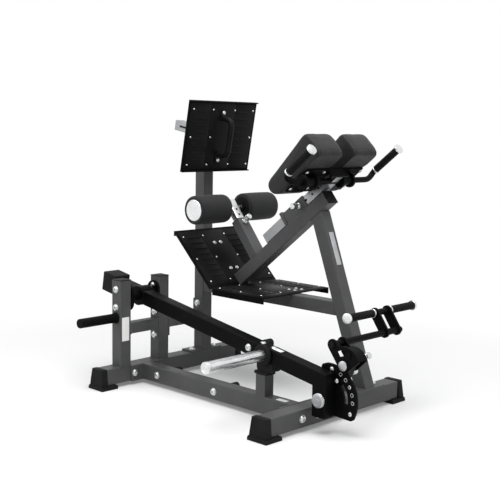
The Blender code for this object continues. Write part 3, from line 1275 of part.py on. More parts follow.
def hang_moving_pieces():
    """An empty on each joint's axis, holding the pieces that move about it, outermost joint first."""
    wrist = ["wrist_bracket", "wrist_pivot", "cross_bar", "handle_bar", "handle_grip_near", "handle_grip_far"]
    hang_on_axis("wrist_axis", (WRIST_X, 0, WRIST_Z), wrist + ["wrist_pin"])
    swing = ["swing_arm", "swing_shaft", "swing_pin", "wrist_axis"]
    hang_on_axis("swing_axis", (SECTOR_X, 0, SECTOR_Z), swing)
    lever = ["lever_beam", "tail_block", "weight_horn", "horn_stop_disc", "band_peg_lever", "rubber_stop"]
    hang_on_axis("lever_axis", (PIVOT_X, 0, PIVOT_Z), lever + ["sector_plate", "swing_axis"])
    pads = ["pad_slide_bar", "pad_carrier", "hip_pad_near", "hip_pad_far", "pad_handle"]
    pads += ["pad_grip_near", "pad_grip_far"]
    hang_on_axis("pad_slide_axis", on_slope(PAD_PIN_S, PAD_BAR_N, CENTRE_Y), pads)
    rollers = ["roller_post", "roller_axle", "roller_near", "roller_far"]
    hang_on_axis("roller_axis", on_slope(ROLLER_S, ROLLER_AXLE_N, CENTRE_Y), rollers)
    upper = ["upper_plate", "upper_slide_bar", "pull_handle"]
    hang_on_axis("upper_slide_axis", upper_slide_point(0, 0), upper)


def stand_on_origin():
    """Shade every piece, and shift the bench so that its bounding box's bottom centre is the origin."""
    bpy.context.view_layer.update()
    graph = bpy.context.evaluated_depsgraph_get()
    corners = []
    for obj in BENCH.objects:
        if obj.type == "MESH":
            shape = obj.evaluated_get(graph)
            corners += [shape.matrix_world @ vertex.co for vertex in shape.to_mesh().vertices]
            shape.to_mesh_clear()
    middle = Vector()
    for axis in (0, 1):
        values = [corner[axis] for corner in corners]
        middle[axis] = (min(values) + max(values)) / 2
    for obj in BENCH.objects:
        if obj.parent is None:
            obj.location -= middle
        if obj.type == "MESH":
            obj.data.shade_smooth()
            obj.data.set_sharp_from_angle(angle=math.radians(35))


def build():
    """Make every piece in the frame's own coordinates, then set the bench on the origin."""
    make_base()
    make_posts()
    make_mast()
    make_upper_plate()
    make_incline()
    make_pad_slide()
    make_roller_slide()
    make_footplates()
    make_strut()
    make_lever()
    make_lever_fittings()
    make_sector()
    make_swing()
    make_wrist()
    make_handles()
    make_pad_carrier()
    make_pad("hip_pad_near", CENTRE_Y - PAD_SPACING / 2)
    make_pad("hip_pad_far", CENTRE_Y + PAD_SPACING / 2)
    make_pad_handle()
    hang_moving_pieces()
    stand_on_origin()


build()
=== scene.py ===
"""Glute extension bench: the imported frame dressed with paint, foam, leather, chrome and fasteners."""
import json
import math

import bmesh
import bpy
from mathutils import Matrix, Vector


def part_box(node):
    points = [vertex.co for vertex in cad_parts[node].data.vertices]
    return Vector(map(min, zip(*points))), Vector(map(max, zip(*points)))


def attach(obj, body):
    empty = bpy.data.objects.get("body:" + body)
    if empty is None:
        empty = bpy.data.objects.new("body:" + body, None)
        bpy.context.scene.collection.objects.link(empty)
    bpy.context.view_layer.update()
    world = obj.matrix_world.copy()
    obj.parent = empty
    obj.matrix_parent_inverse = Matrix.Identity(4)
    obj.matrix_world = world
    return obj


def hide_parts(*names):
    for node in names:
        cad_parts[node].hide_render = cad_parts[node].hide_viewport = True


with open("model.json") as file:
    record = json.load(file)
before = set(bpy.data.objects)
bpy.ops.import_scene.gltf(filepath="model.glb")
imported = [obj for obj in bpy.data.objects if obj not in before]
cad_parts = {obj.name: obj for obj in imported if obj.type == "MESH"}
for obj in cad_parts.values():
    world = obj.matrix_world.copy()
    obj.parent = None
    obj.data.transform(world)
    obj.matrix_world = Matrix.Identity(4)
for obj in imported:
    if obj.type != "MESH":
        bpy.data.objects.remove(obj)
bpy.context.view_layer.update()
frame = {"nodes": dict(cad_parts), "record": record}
NODES = frame["nodes"]
VIEW = bpy.context.view_layer

MM = 0.001
NEARWARD = Vector((0, -1, 0))
FARWARD = Vector((0, 1, 0))
FRONTWARD = Vector((1, 0, 0))
REARWARD = Vector((-1, 0, 0))
UPWARD = Vector((0, 0, 1))

# The middle of the pads, rollers and plates, and the near side of the rail and the lever.
CENTRE_Y = 0.220625
NEAR_SIDE_Y = -0.204125
# The posts and the mast: their middle, their front face and the side of their square tube.
POST_X = -0.513203
POST_FRONT_X = -0.481453
POST_SIDE = 0.0635

# The inclined tube's way up, the way square to it, and the height of the pads' backs over its zero line.
SLOPE_ALONG = Vector((0.780430, 0, 0.625243))
SLOPE_OUT = Vector((-0.625243, 0, 0.780430))
SLOPE_ORIGIN = Vector((POST_FRONT_X, NEAR_SIDE_Y, 0))
PAD_BACK = 0.31185
# The rollers' axle, by its way up the inclined tube and its height over the zero line.
AXLE_S, AXLE_N = 0.652, 0.5385

# The upper footplate leans to the front, and the lever's top falls to the front.
UPPER_TILT = math.radians(10.2)
UPPER_ALONG = Vector((math.sin(UPPER_TILT), 0, math.cos(UPPER_TILT)))
UPPER_OUT = Vector((math.cos(UPPER_TILT), 0, -math.sin(UPPER_TILT)))
UPPER_MIDDLE = Vector((POST_FRONT_X + 0.0445, CENTRE_Y, 1.001)) + UPPER_ALONG * 0.1725
LEVER_TILT = math.radians(9.65)
LEVER_UP = Vector((math.sin(LEVER_TILT), 0, math.cos(LEVER_TILT)))

# The shaft that the swing arm and the sector's holes turn about.
SHAFT_X, SHAFT_Z = 0.619547, 0.144


def on_slope(s, y, n):
    """A point from its way up the inclined tube, its Y and its height square to that tube."""
    return SLOPE_ORIGIN + SLOPE_ALONG * s + SLOPE_OUT * n + Vector((0, y - SLOPE_ORIGIN.y, 0))


def facing(point, normal, across=FARWARD):
    """A place whose Z looks along the normal and whose X lies as near to across as it can."""
    up = Vector(normal).normalized()
    side = Vector(across) - up * up.dot(across)
    if side.length < 0.1:
        side = FRONTWARD - up * up.dot(FRONTWARD)
    side.normalize()
    turn = Matrix((side, up.cross(side), up)).transposed().to_4x4()
    return Matrix.Translation(point) @ turn


def take(*pieces):
    """Selects these objects alone, in object mode, the first one active."""
    if bpy.context.mode != "OBJECT":
        bpy.ops.object.mode_set(mode="OBJECT")
    bpy.ops.object.select_all(action="DESELECT")
    for piece in pieces:
        piece.select_set(True)
    VIEW.objects.active = pieces[0]


def joined(*pieces):
    """These objects made one."""
    take(*pieces)
    if len(pieces) > 1:
        bpy.ops.object.join()
    return bpy.context.object


def mark(test):
    """In edit mode, selects the faces whose middle and normal pass the test."""
    mesh = bpy.context.object.data
    bpy.ops.mesh.select_mode(type="FACE")
    bpy.ops.mesh.select_all(action="DESELECT")
    shell = bmesh.from_edit_mesh(mesh)
    for face in shell.faces:
        face.select_set(bool(test(face.calc_center_median(), face.normal)))
    shell.select_flush_mode()
    bmesh.update_edit_mesh(mesh)


def seat(piece, place):
    """Puts a piece modelled about the origin in its place, with the place in its mesh."""
    take(piece)
    piece.matrix_world = place @ piece.matrix_world
    bpy.ops.object.transform_apply(location=True, rotation=True, scale=True)
    return piece


def finish_piece(piece, name, body, material, smooth=35):
    """Names a piece, smooths its low edges, paints it and hangs it on its body."""
    take(piece)
    bpy.ops.object.transform_apply(location=True, rotation=True, scale=True)
    piece.name = name
    piece.data.name = name
    bpy.ops.object.shade_smooth_by_angle(angle=math.radians(smooth))
    piece.data.materials.clear()
    piece.data.materials.append(material)
    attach(piece, body)
    return piece


def copies(model, places):
    """Copies of a model, each with its own mesh, joined in one object. The model itself is removed."""
    made = []
    for place in places:
        twin = model.copy()
        twin.data = model.data.copy()
        bpy.context.collection.objects.link(twin)
        made.append(seat(twin, place))
    bpy.data.objects.remove(model)
    return joined(*made)


def lathed(profile, steps=32):
    """A solid of revolution about Z, drawn up ring by ring from (radius, height) pairs."""
    (low_radius, low), (next_radius, high) = profile[:2]
    bpy.ops.mesh.primitive_cylinder_add(vertices=steps, radius=low_radius, depth=high - low,
                                        location=(0, 0, (low + high) / 2), end_fill_type="NGON")
    piece = bpy.context.object
    take(piece)
    bpy.ops.object.transform_apply(location=True, rotation=True, scale=True)
    bpy.ops.object.mode_set(mode="EDIT")
    mark(lambda middle, normal: normal.z > 0.9)
    ratio = next_radius / low_radius
    bpy.ops.transform.resize(value=(ratio, ratio, 1), center_override=(0, 0, high))
    before = next_radius
    for radius, height in profile[2:]:
        bpy.ops.mesh.extrude_region_move(TRANSFORM_OT_translate={"value": (0, 0, height - high)})
        ratio = radius / before
        bpy.ops.transform.resize(value=(ratio, ratio, 1), center_override=(0, 0, height))
        before, high = radius, height
    bpy.ops.mesh.select_all(action="SELECT")
    bpy.ops.mesh.normals_make_consistent(inside=False)
    bpy.ops.object.mode_set(mode="OBJECT")
    return piece


def turned(profile, steps=32):
    """A solid of revolution from a profile in millimetres."""
    return lathed([(radius * MM, height * MM) for radius, height in profile], steps)


def block(size, bevel, steps=2, place=None):
    """A slab standing on the origin's XY plane with its edges rolled over."""
    bpy.ops.mesh.primitive_cube_add(size=1, location=(0, 0, size[2] / 2), scale=size)
    piece = bpy.context.object
    take(piece)
    bpy.ops.object.transform_apply(location=True, rotation=True, scale=True)
    bpy.ops.object.mode_set(mode="EDIT")
    bpy.ops.mesh.select_all(action="SELECT")
    bpy.ops.mesh.bevel(offset=bevel, segments=steps, affect="EDGES")
    bpy.ops.object.mode_set(mode="OBJECT")
    return seat(piece, place) if place is not None else piece


def drawn_tube(points, radius, closed=False, steps=3):
    """A round bar or bead along a line of points, its ends filled."""
    bpy.ops.curve.primitive_nurbs_path_add()
    piece = bpy.context.object
    curve = piece.data
    curve.splines.clear()
    spline = curve.splines.new("POLY")
    spline.points.add(len(points) - 1)
    for knot, point in zip(spline.points, points):
        knot.co = (*point, 1)
    spline.use_cyclic_u = closed
    curve.dimensions = "3D"
    curve.bevel_depth = radius
    curve.bevel_resolution = steps
    curve.use_fill_caps = not closed
    take(piece)
    bpy.ops.object.convert(target="MESH")
    return bpy.context.object


def add(tree, kind, inputs=None, **settings):
    """Adds one node with its settings, and sets or links each of its inputs."""
    node = tree.nodes.new(kind)
    for key, value in settings.items():
        setattr(node, key, value)
    for key, value in (inputs or {}).items():
        if isinstance(value, bpy.types.NodeSocket):
            tree.links.new(value, node.inputs[key])
        else:
            node.inputs[key].default_value = value
    return node


def noise(tree, place, scale, detail, **inputs):
    """A cloudy pattern with this many cells to the metre."""
    return add(tree, "ShaderNodeTexNoise",
               {"Vector": place, "Scale": scale, "Detail": detail, **inputs}).outputs["Fac"]


def spread(tree, value, low, high, to_low=0.0, to_high=1.0):
    """A value's range laid over another one."""
    return add(tree, "ShaderNodeMapRange", {0: value, 1: low, 2: high, 3: to_low, 4: to_high}).outputs[0]


def blend(tree, share, first, second, **settings):
    """Two colours mixed by a share."""
    return add(tree, "ShaderNodeMix", {0: share, 6: first, 7: second}, data_type="RGBA",
               **settings).outputs[2]


def wire(tree, shader, face, rough, height, strength, distance):
    """Links a finish's colour, roughness and relief to its shader."""
    bump = add(tree, "ShaderNodeBump", {"Height": height, "Strength": strength, "Distance": distance})
    for socket, value in (("Base Color", face), ("Roughness", rough), ("Normal", bump.outputs[0])):
        tree.links.new(value, shader.inputs[socket])


def colour(code):
    """The linear colour of an sRGB hex code."""
    shares = [int(code[at:at + 2], 16) / 255 for at in (1, 3, 5)]
    return tuple(v / 12.92 if v <= 0.04045 else ((v + 0.055) / 1.055) ** 2.4 for v in shares) + (1.0,)


def new_finish(name, **shader_values):
    """An empty material, its tree, its shader and the place in metres that its patterns read."""
    material = bpy.data.materials.new(name)
    material.use_nodes = True
    tree = material.node_tree
    shader = tree.nodes["Principled BSDF"]
    for key, value in shader_values.items():
        shader.inputs[key.replace("_", " ")].default_value = value
    place = add(tree, "ShaderNodeTexCoord").outputs["Object"]
    return material, tree, shader, place


def powder_coat(name, face, dust, edge_highlight, rough, shine):
    """Steel sprayed with polyester powder and baked: a satin skin with an orange-peel ripple, and a painted
    highlight on its corners.
    """
    material, tree, shader, place = new_finish(name, Metallic=0.0, Specular_IOR_Level=shine)
    # Real orange peel is 1 mm across; it is drawn at 2.5 mm so that it shows at this size.
    peel = noise(tree, place, 400, 2)
    # Clouds 120 mm across: handling and dust leave the satin lighter here and there.
    cloud = noise(tree, place, 8, 5, Roughness=0.6)
    dusty = blend(tree, spread(tree, cloud, 0.35, 0.7), colour(face), colour(dust))
    # Painted highlight on the corners: where a 3 mm rolled normal leaves the flat one, the paint is made
    # paler, broken up by a noise.
    rolled = add(tree, "ShaderNodeBevel", {"Radius": 0.003}, samples=3)
    flat = add(tree, "ShaderNodeNewGeometry")
    match = add(tree, "ShaderNodeVectorMath", {0: rolled.outputs[0], 1: flat.outputs["Normal"]},
                operation="DOT_PRODUCT")
    edge_highlight_mask = spread(tree, match.outputs["Value"], 0.995, 0.86)
    edge_highlight_share = add(tree, "ShaderNodeMath", {0: edge_highlight_mask, 1: noise(tree, place, 60, 3)}, operation="MULTIPLY")
    with_edge_highlight = blend(tree, edge_highlight_share.outputs[0], dusty, colour(edge_highlight))
    satin = spread(tree, cloud, 0.3, 0.7, rough - 0.05, rough + 0.07)
    wire(tree, shader, with_edge_highlight, satin, peel, 0.22, 0.0006)
    return material


def bright_metal(name, face, rough, scratch, drawn):
    """Plated or drawn metal: a hard reflection broken by hair scratches that run one way."""
    material, tree, shader, place = new_finish(name, Metallic=1.0)
    # Hair lines along one way, as a belt or a die leaves them. They are drawn 4.5 mm apart with finer
    # ones between, far coarser than real ones, so that they show at this size.
    run = add(tree, "ShaderNodeMapping", {"Vector": place, "Scale": drawn})
    hair = noise(tree, run.outputs[0], 220, 3)
    tone = spread(tree, noise(tree, place, 22, 4), 0.3, 0.7, 0.86, 1.0)
    shade = blend(tree, 1.0, colour(face), tone, blend_type="MULTIPLY")
    matt = spread(tree, hair, 0.3, 0.7, rough * 0.7, rough * 1.4)
    wire(tree, shader, shade, matt, hair, scratch, 0.0003)
    return material


def moulded(name, face, dust, rough, grain, depth):
    """Moulded rubber or nylon: a dull skin with the fine spark grain of its mould, dusty in patches."""
    material, tree, shader, place = new_finish(name, Metallic=0.0, Specular_IOR_Level=0.09)
    spark = noise(tree, place, 1 / grain, 3)
    haze = spread(tree, noise(tree, place, 14, 5), 0.4, 0.72)
    shade = blend(tree, haze, colour(face), colour(dust))
    dull = spread(tree, spark, 0.3, 0.7, rough - 0.06, rough + 0.06)
    wire(tree, shader, shade, dull, spark, 0.3, depth)
    return material


def upholstery_leather():
    """Embossed PU leather, calendered on a knit: pebbled cells, soft creases and a faint sheen."""
    material, tree, shader, place = new_finish("embossed_pu_leather", Metallic=0.0, Specular_IOR_Level=0.18,
                                               Sheen_Weight=0.12, Sheen_Roughness=0.5)
    # Real pebbles are 1.2 mm; they are drawn 2.8 mm apart so that the grain shows at this size.
    warp = add(tree, "ShaderNodeTexNoise", {"Vector": place, "Scale": 90, "Detail": 2})
    bend = add(tree, "ShaderNodeVectorMath", {0: warp.outputs["Color"], 1: (0.006, 0.006, 0.006)},
               operation="MULTIPLY")
    bent = add(tree, "ShaderNodeVectorMath", {0: place, 1: bend.outputs[0]}, operation="ADD")
    pebble = add(tree, "ShaderNodeTexVoronoi", {"Vector": bent.outputs[0], "Scale": 360},
                 feature="DISTANCE_TO_EDGE")
    valley = spread(tree, pebble.outputs["Distance"], 0.0, 0.22)
    crease = noise(tree, place, 16, 6, Roughness=0.65)
    # Painted shade: where the creases lie low the leather is darker, and the valleys between the pebbles are
    # darker still.
    face = blend(tree, spread(tree, crease, 0.35, 0.7), colour("#161617"), colour("#1E1E1F"))
    deep = blend(tree, valley, colour("#0F0F10"), face)
    gloss = spread(tree, valley, 0.0, 1.0, 0.6, 0.42)
    relief = add(tree, "ShaderNodeMath", {0: valley, 1: crease}, operation="ADD")
    wire(tree, shader, deep, gloss, relief.outputs[0], 0.35, 0.0005)
    return material


def roller_foam():
    """Skinned NBR foam, extruded: matt, with pores like pin pricks."""
    material, tree, shader, place = new_finish("skinned_nbr_foam", Metallic=0.0, Specular_IOR_Level=0.15,
                                               Sheen_Weight=0.1, Sheen_Roughness=0.6)
    # Real pores are half a millimetre; they are drawn 2.2 mm apart so that the foam shows as foam.
    pore = add(tree, "ShaderNodeTexVoronoi", {"Vector": place, "Scale": 450})
    pit = spread(tree, pore.outputs["Distance"], 0.1, 0.45)
    cloud = noise(tree, place, 24, 5)
    face = blend(tree, spread(tree, cloud, 0.35, 0.7), colour("#141415"), colour("#1E1E1F"))
    # Painted shade: the pores are darker than the skin, as shade in their pits.
    deep = blend(tree, pit, colour("#0F0F10"), face)
    dull = spread(tree, cloud, 0.3, 0.7, 0.62, 0.74)
    wire(tree, shader, deep, dull, pit, 0.3, 0.0004)
    return material


def set_camera():
    """A camera where the picture was taken from, looking 7 degrees down with a degree of roll."""
    bpy.ops.object.camera_add(location=(0, 0, 0))
    camera = bpy.context.object
    right = Vector((0.71802, 0.69582, 0.01662))
    up = Vector((-0.09921, 0.07867, 0.99195))
    back = Vector((0.68892, -0.71389, 0.12551))
    eye = Matrix.Translation((3.018547, -3.102125, 1.2171))
    camera.matrix_world = eye @ Matrix((right, up, back)).transposed().to_4x4()
    camera.data.sensor_width = 36
    camera.data.lens = 69.77
    bpy.context.scene.camera = camera


def shows_white(tree):
    """One where the camera looks straight, by a mirror or through glass, and nothing where light falls."""
    path = add(tree, "ShaderNodeLightPath")
    sees = add(tree, "ShaderNodeMath", {0: path.outputs["Is Camera Ray"], 1: path.outputs["Is Glossy Ray"]},
               operation="ADD", use_clamp=True)
    return add(tree, "ShaderNodeMath", {0: sees.outputs[0], 1: path.outputs["Is Transmission Ray"]},
               operation="ADD", use_clamp=True).outputs[0]


def light_studio():
    """A white room: an even sky, a broad lamp overhead, a low one aside and a window at the near left."""
    world = bpy.data.worlds.new("studio")
    bpy.context.scene.world = world
    bpy.context.scene.view_settings.view_transform = "Standard"
    world.use_nodes = True
    tree = world.node_tree
    tree.nodes.clear()
    sky = add(tree, "ShaderNodeBackground", {"Color": colour("#F1F3F5"), "Strength": 0.4})
    white = add(tree, "ShaderNodeBackground", {"Color": (1, 1, 1, 1), "Strength": 1.0})
    choice = add(tree, "ShaderNodeMixShader", {0: shows_white(tree), 1: sky.outputs[0], 2: white.outputs[0]})
    add(tree, "ShaderNodeOutputWorld", {"Surface": choice.outputs[0]})
    lamps = (("overhead", (0.6, -0.4, 3.6), (0.0, 0.0, 0.3), 3.0, 140),
             ("side", (3.2, 0.6, 1.6), (0.1, 0.0, 0.5), 1.6, 8),
             ("window", (-2.2, -3.0, 2.0), (0.0, 0.0, 0.6), 2.0, 34))
    for name, spot, target, size, power in lamps:
        bpy.ops.object.light_add(type="AREA", location=spot)
        lamp = bpy.context.object
        lamp.name = name
        lamp.data.size = size
        lamp.data.energy = power
        lamp.rotation_euler = (Vector(target) - Vector(spot)).to_track_quat("-Z", "Y").to_euler()


def lay_floor():
    """A pale floor that runs out to the white, and keeps the bench's shadow."""
    bpy.ops.mesh.primitive_plane_add(size=60, location=(0, 0, -0.0004))
    floor = bpy.context.object
    floor.name = "floor"
    material = bpy.data.materials.new("white_paper_floor")
    material.use_nodes = True
    tree = material.node_tree
    tree.nodes.clear()
    paper = add(tree, "ShaderNodeBsdfDiffuse", {"Color": colour("#F2F2F1")})
    glow = add(tree, "ShaderNodeEmission", {"Color": (1, 1, 1, 1), "Strength": 1.0})
    # Further than 2.1 m out the paper is white altogether, as in the picture. Nearer it holds the shadow.
    place = add(tree, "ShaderNodeTexCoord").outputs["Object"]
    away = add(tree, "ShaderNodeVectorMath", {0: place}, operation="LENGTH")
    fade = spread(tree, away.outputs["Value"], 0.9, 2.1, 0.15, 1.0)
    lift = add(tree, "ShaderNodeMath", {0: shows_white(tree), 1: fade}, operation="MULTIPLY")
    mixed = add(tree, "ShaderNodeMixShader", {0: lift.outputs[0], 1: paper.outputs[0], 2: glow.outputs[0]})
    add(tree, "ShaderNodeOutputMaterial", {"Surface": mixed.outputs[0]})
    floor.data.materials.append(material)


set_camera()
light_studio()
lay_floor()

# The third colour of each powder coat is the painted highlight on its corners.
GREY_COAT = powder_coat("grey_powder_coated_steel", "#4A4A4B", "#525253", "#747476", 0.44, 0.2)
BLACK_COAT = powder_coat("black_powder_coated_steel", "#090909", "#0F0F10", "#28282A", 0.42, 0.04)
BLACK_PANEL = powder_coat("black_tread_panel", "#0E0E0F", "#141415", "#2E2E30", 0.46, 0.07)
CHROME = bright_metal("chrome_plated_steel", "#E6E7E8", 0.27, 0.02, (1, 0.05, 1))
ZINC = bright_metal("zinc_plated_steel", "#D6D7D8", 0.28, 0.1, (1, 1, 0.2))
DRAWN = bright_metal("brushed_steel_tube", "#97989A", 0.34, 0.2, (0.08, 1, 0.08))
RUBBER = moulded("moulded_black_rubber", "#19191A", "#212122", 0.66, 0.0022, 0.0005)
GRIP_RUBBER = moulded("ribbed_grip_rubber", "#151516", "#1D1D1E", 0.6, 0.0018, 0.0004)
NYLON = moulded("moulded_black_nylon", "#101011", "#171718", 0.5, 0.0016, 0.0003)
BLANK_VINYL = moulded("blank_white_vinyl", "#F4F4F2", "#EBEBE8", 0.4, 0.003, 0.0001)
SATIN_PLATE = bright_metal("satin_anodised_plate", "#B9BABC", 0.4, 0.1, (1, 1, 0.2))
LEATHER = upholstery_leather()
FOAM = roller_foam()

PAINTS = {"grey_paint": GREY_COAT, "black_paint": BLACK_COAT, "black_rubber": RUBBER, "chrome": CHROME,
          "silver": ZINC, "pad_leather": LEATHER, "foam_cover": FOAM}
OWN_PAINTS = {"pad_slide_bar": DRAWN, "upper_slide_bar": DRAWN, "handle_grip_near": GRIP_RUBBER,
              "handle_grip_far": GRIP_RUBBER, "pad_grip_near": GRIP_RUBBER, "pad_grip_far": GRIP_RUBBER}


def paint_nodes():
    """Gives each node of the frame its finish, by the record's slots."""
    for part in frame["record"]["subparts"]:
        name, slot = part["node"], part["material_slot"]
        node = NODES[name]
        node.data.materials.clear()
        node.data.materials.append(OWN_PAINTS.get(name, PAINTS[slot]))


def socket_bolt():
    """A button-head bolt on its washer, with a six-sided socket sunk in the head. Its radius is 13.5 mm."""
    bolt = turned([(13.5, 0), (13.5, 1.2), (12.9, 1.8), (12.2, 1.8), (12.2, 3.6), (11.4, 5.2), (9.0, 6.6),
                   (5.2, 7.0)], 24)
    take(bolt)
    bpy.ops.object.mode_set(mode="EDIT")
    mark(lambda middle, normal: normal.z > 0.9 and middle.z > 6.9 * MM)
    shell = bmesh.from_edit_mesh(bolt.data)
    half_flat = 4.2 * MM
    for face in shell.faces:
        if face.select:
            for corner in face.verts:
                angle = math.atan2(corner.co.y, corner.co.x)
                reach = half_flat / math.cos((angle + math.pi / 6) % (math.pi / 3) - math.pi / 6)
                corner.co.x, corner.co.y = reach * math.cos(angle), reach * math.sin(angle)
    bmesh.update_edit_mesh(bolt.data)
    bpy.ops.mesh.extrude_region_move(TRANSFORM_OT_translate={"value": (0, 0, -4 * MM)})
    bpy.ops.object.mode_set(mode="OBJECT")
    return bolt


def panel_screw():
    """A low round screw head with a small sunk drive. Its radius is 5 mm."""
    return turned([(5.0, 0), (5.0, 0.7), (4.2, 1.9), (2.6, 2.6), (1.6, 2.7), (1.4, 1.6)], 14)


def nut():
    """A six-sided nut on its washer with the bolt's end standing through. Its radius is 13.5 mm."""
    washer = turned([(13.5, 0), (13.5, 1.6), (12.8, 2.2)], 24)
    prism = turned([(10.9, 2.2), (10.9, 9.6), (9.4, 10.6), (6.0, 10.6)], 6)
    stem = turned([(5.6, 10), (5.6, 13), (4.8, 13.8)], 14)
    return joined(washer, prism, stem)


def set_fasteners(name, body, model, spots, size=1.0):
    """Copies of one fastener on the faces that carry them. Spots are (point, way the face looks)."""
    places = [facing(Vector(point), way) @ Matrix.Scale(size, 4) for point, way in spots]
    finish_piece(copies(model, places), name, body, ZINC)


def fasten_frame():
    """The bolts and nuts that hold the frame together, where each shows in the picture or pairs with one."""
    bearing_rows, tie_rows, mast_rows = (0.459, 0.374), (0.326, 0.213), (0.334, 0.228)
    rear_flange = (-0.2515, -0.0967)
    bolts = [((POST_X, -0.334075, z), NEARWARD) for z in bearing_rows]
    bolts += [((POST_X, -0.100075, z), NEARWARD) for z in tie_rows]
    bolts += [((x, NEAR_SIDE_Y, 0.055), NEARWARD) for x in (-0.3715, 0.0125)]
    bolts += [((-0.473453, y, 0.057), FRONTWARD) for y in rear_flange]
    bolts += [((0.549547, y, 0.056), FRONTWARD) for y in (-0.224, -0.124)]
    bolts += [((-0.513, y, 0.1013), UPWARD) for y in (0.1515, 0.2897)]
    bolts += [((0.5065, y, 0.1023), UPWARD) for y in (0.1485, 0.2927)]
    bolts += [((POST_X, 0.1826, z), NEARWARD) for z in mast_rows]
    set_fasteners("frame_bolts", "frame", socket_bolt(), bolts, 1.28)
    nuts = [((-0.557453, y, 0.057), REARWARD) for y in rear_flange]
    nuts += [((0.473547, y, 0.056), REARWARD) for y in (-0.258, -0.090)]
    nuts += [((POST_X, -0.258325, z), FARWARD) for z in bearing_rows]
    nuts += [((POST_X, 0.252375, z), FARWARD) for z in mast_rows]
    set_fasteners("frame_nuts", "frame", nut(), nuts)
    heads = [((POST_X, -0.112325, z), NEARWARD) for z in bearing_rows]
    set_fasteners("bearing_bolts", "frame", socket_bolt(), heads, 0.95)


def fasten_lever():
    """The small bright bolts on the lever, its tail block, sector and peg."""
    set_fasteners("lever_peg_bolt", "lever", socket_bolt(), [((0.2225, NEAR_SIDE_Y, 0.2909), NEARWARD)], 1.2)
    spots = [((0.6306, -0.1438, 0.2638), NEARWARD), ((0.7281, -0.1438, 0.0979), NEARWARD)]
    set_fasteners("sector_end_bolts", "lever", socket_bolt(), spots, 0.7)
    top = [((0.2777, -0.1716, 0.3147), LEVER_UP), ((0.3407, -0.1716, 0.3040), LEVER_UP)]
    set_fasteners("lever_top_bolts", "lever", socket_bolt(), top, 0.9)
    set_fasteners("swing_guide_bolt", "swing", socket_bolt(), [((0.6612, -0.1511, 0.2218), NEARWARD)], 0.72)


def tread_panels(name, body, middle, along, out, length, screw_rows, first_rib):
    """Moulded tread panels screwed to a plate: two ribbed sides and a plain middle, with a seam between.

    The rows of screws and the first rib are given by how far they lie below the plate's top edge."""
    plate_width, seam, edge = 0.444, 0.083, 0.008
    thick, roll = 2.2 * MM, 0.9 * MM
    place = facing(middle, out)
    up = 1 if (place.to_3x3() @ FARWARD).dot(along) > 0 else -1
    side_width = plate_width / 2 - seam - edge
    panel_length = length - 0.012
    parts = [block((0.1635, panel_length, thick), roll, place=place)]
    for side in (-1, 1):
        shift = Matrix.Translation((side * (seam + side_width / 2 + 0.0005), 0, 0))
        parts.append(block((side_width, panel_length, thick), roll, place=place @ shift))
    rib = block((0.088, 0.0062, 3.6 * MM), 1.8 * MM, 3)
    rib_pitch, rib_offset, rib_height = 0.0335, 0.1306, 1.2 * MM
    rows = []
    for row in range(8):
        down = first_rib + row * rib_pitch
        for side in (-1, 1):
            spot = (side * rib_offset, up * (length / 2 - down), rib_height)
            rows.append(place @ Matrix.Translation(spot))
    parts.append(copies(rib, rows))
    finish_piece(joined(*parts), name, body, BLACK_PANEL, 30)
    spots = []
    for down in screw_rows:
        for across in (-0.1955, -0.0665, 0.078, 0.2055):
            spots.append(place @ Matrix.Translation((across, up * (length / 2 - down), thick)))
    finish_piece(copies(panel_screw(), spots), name + "_screws", body, ZINC)


def plate_treads():
    """Tread panels on the upper, sloped and flat footplates, with the big bolts that hold the plates."""
    tread_panels("upper_tread", "upper", UPPER_MIDDLE, UPPER_ALONG, UPPER_OUT, 0.333,
                 (0.036, 0.1707, 0.3054), 0.046)
    slant = math.radians(44.2)
    down = Vector((math.cos(slant), 0, -math.sin(slant)))
    out = Vector((math.sin(slant), 0, math.cos(slant)))
    middle = Vector((-0.4780, CENTRE_Y, 0.7108)) + down * 0.174
    tread_panels("sloped_tread", "frame", middle, -down, out, 0.340, (0.036, 0.1735, 0.311), 0.046)
    deck = Vector((-0.046, CENTRE_Y, 0.4655))
    tread_panels("flat_tread", "frame", deck, REARWARD, UPWARD, 0.318, (0.014, 0.152, 0.280), 0.034)
    big = [((x, y, z), out) for x, z in ((-0.4126, 0.6495), (-0.2958, 0.5359)) for y in (0.2002, 0.2410)]
    set_fasteners("sloped_plate_bolts", "frame", socket_bolt(), big, 0.72)
    corners = ((0.045, 0.2465), (0.047, 0.2925), (0.082, 0.2465), (0.082, 0.2925))
    flat = [((x, y, 0.4677), UPWARD) for x, y in corners]
    set_fasteners("flat_plate_bolts", "frame", socket_bolt(), flat, 0.6)


def grip(name, body, start, way, length, node):
    """A rubber grip with moulded rings, a chrome collar at its inner end and a chrome cap on its outer.

    Its length is in millimetres, as its profiles are."""
    first, end = 9, length - 8
    count = int((end - first - 3) / 8.4)
    pitch = (end - first - 3) / count
    rings = [(15.6, 7.4), (16.4, first)]
    for turn in range(count):
        low = first + turn * pitch
        rings += [(16.9, low + pitch * 0.12), (17.2, low + pitch * 0.4), (16.8, low + pitch * 0.66),
                  (14.9, low + pitch * 0.74), (14.9, low + pitch * 0.97)]
    rings += [(16.4, end - 1), (15, end)]
    place = facing(start, way)
    sleeve = seat(turned(rings, 28), place)
    finish_piece(sleeve, name, body, GRIP_RUBBER, 50)
    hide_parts(node)
    collar = turned([(18.4, 0), (19.4, 0.8), (19.5, 6), (18.6, 7), (16, 7.2)])
    cap = turned([(21.2, end), (22.4, end + 1.2), (22.5, end + 9.6), (21.8, end + 11.3), (19.8, end + 12),
                  (4.0, end + 12.4)])
    finish_piece(seat(joined(collar, cap), place), name + "_trim", body, CHROME)


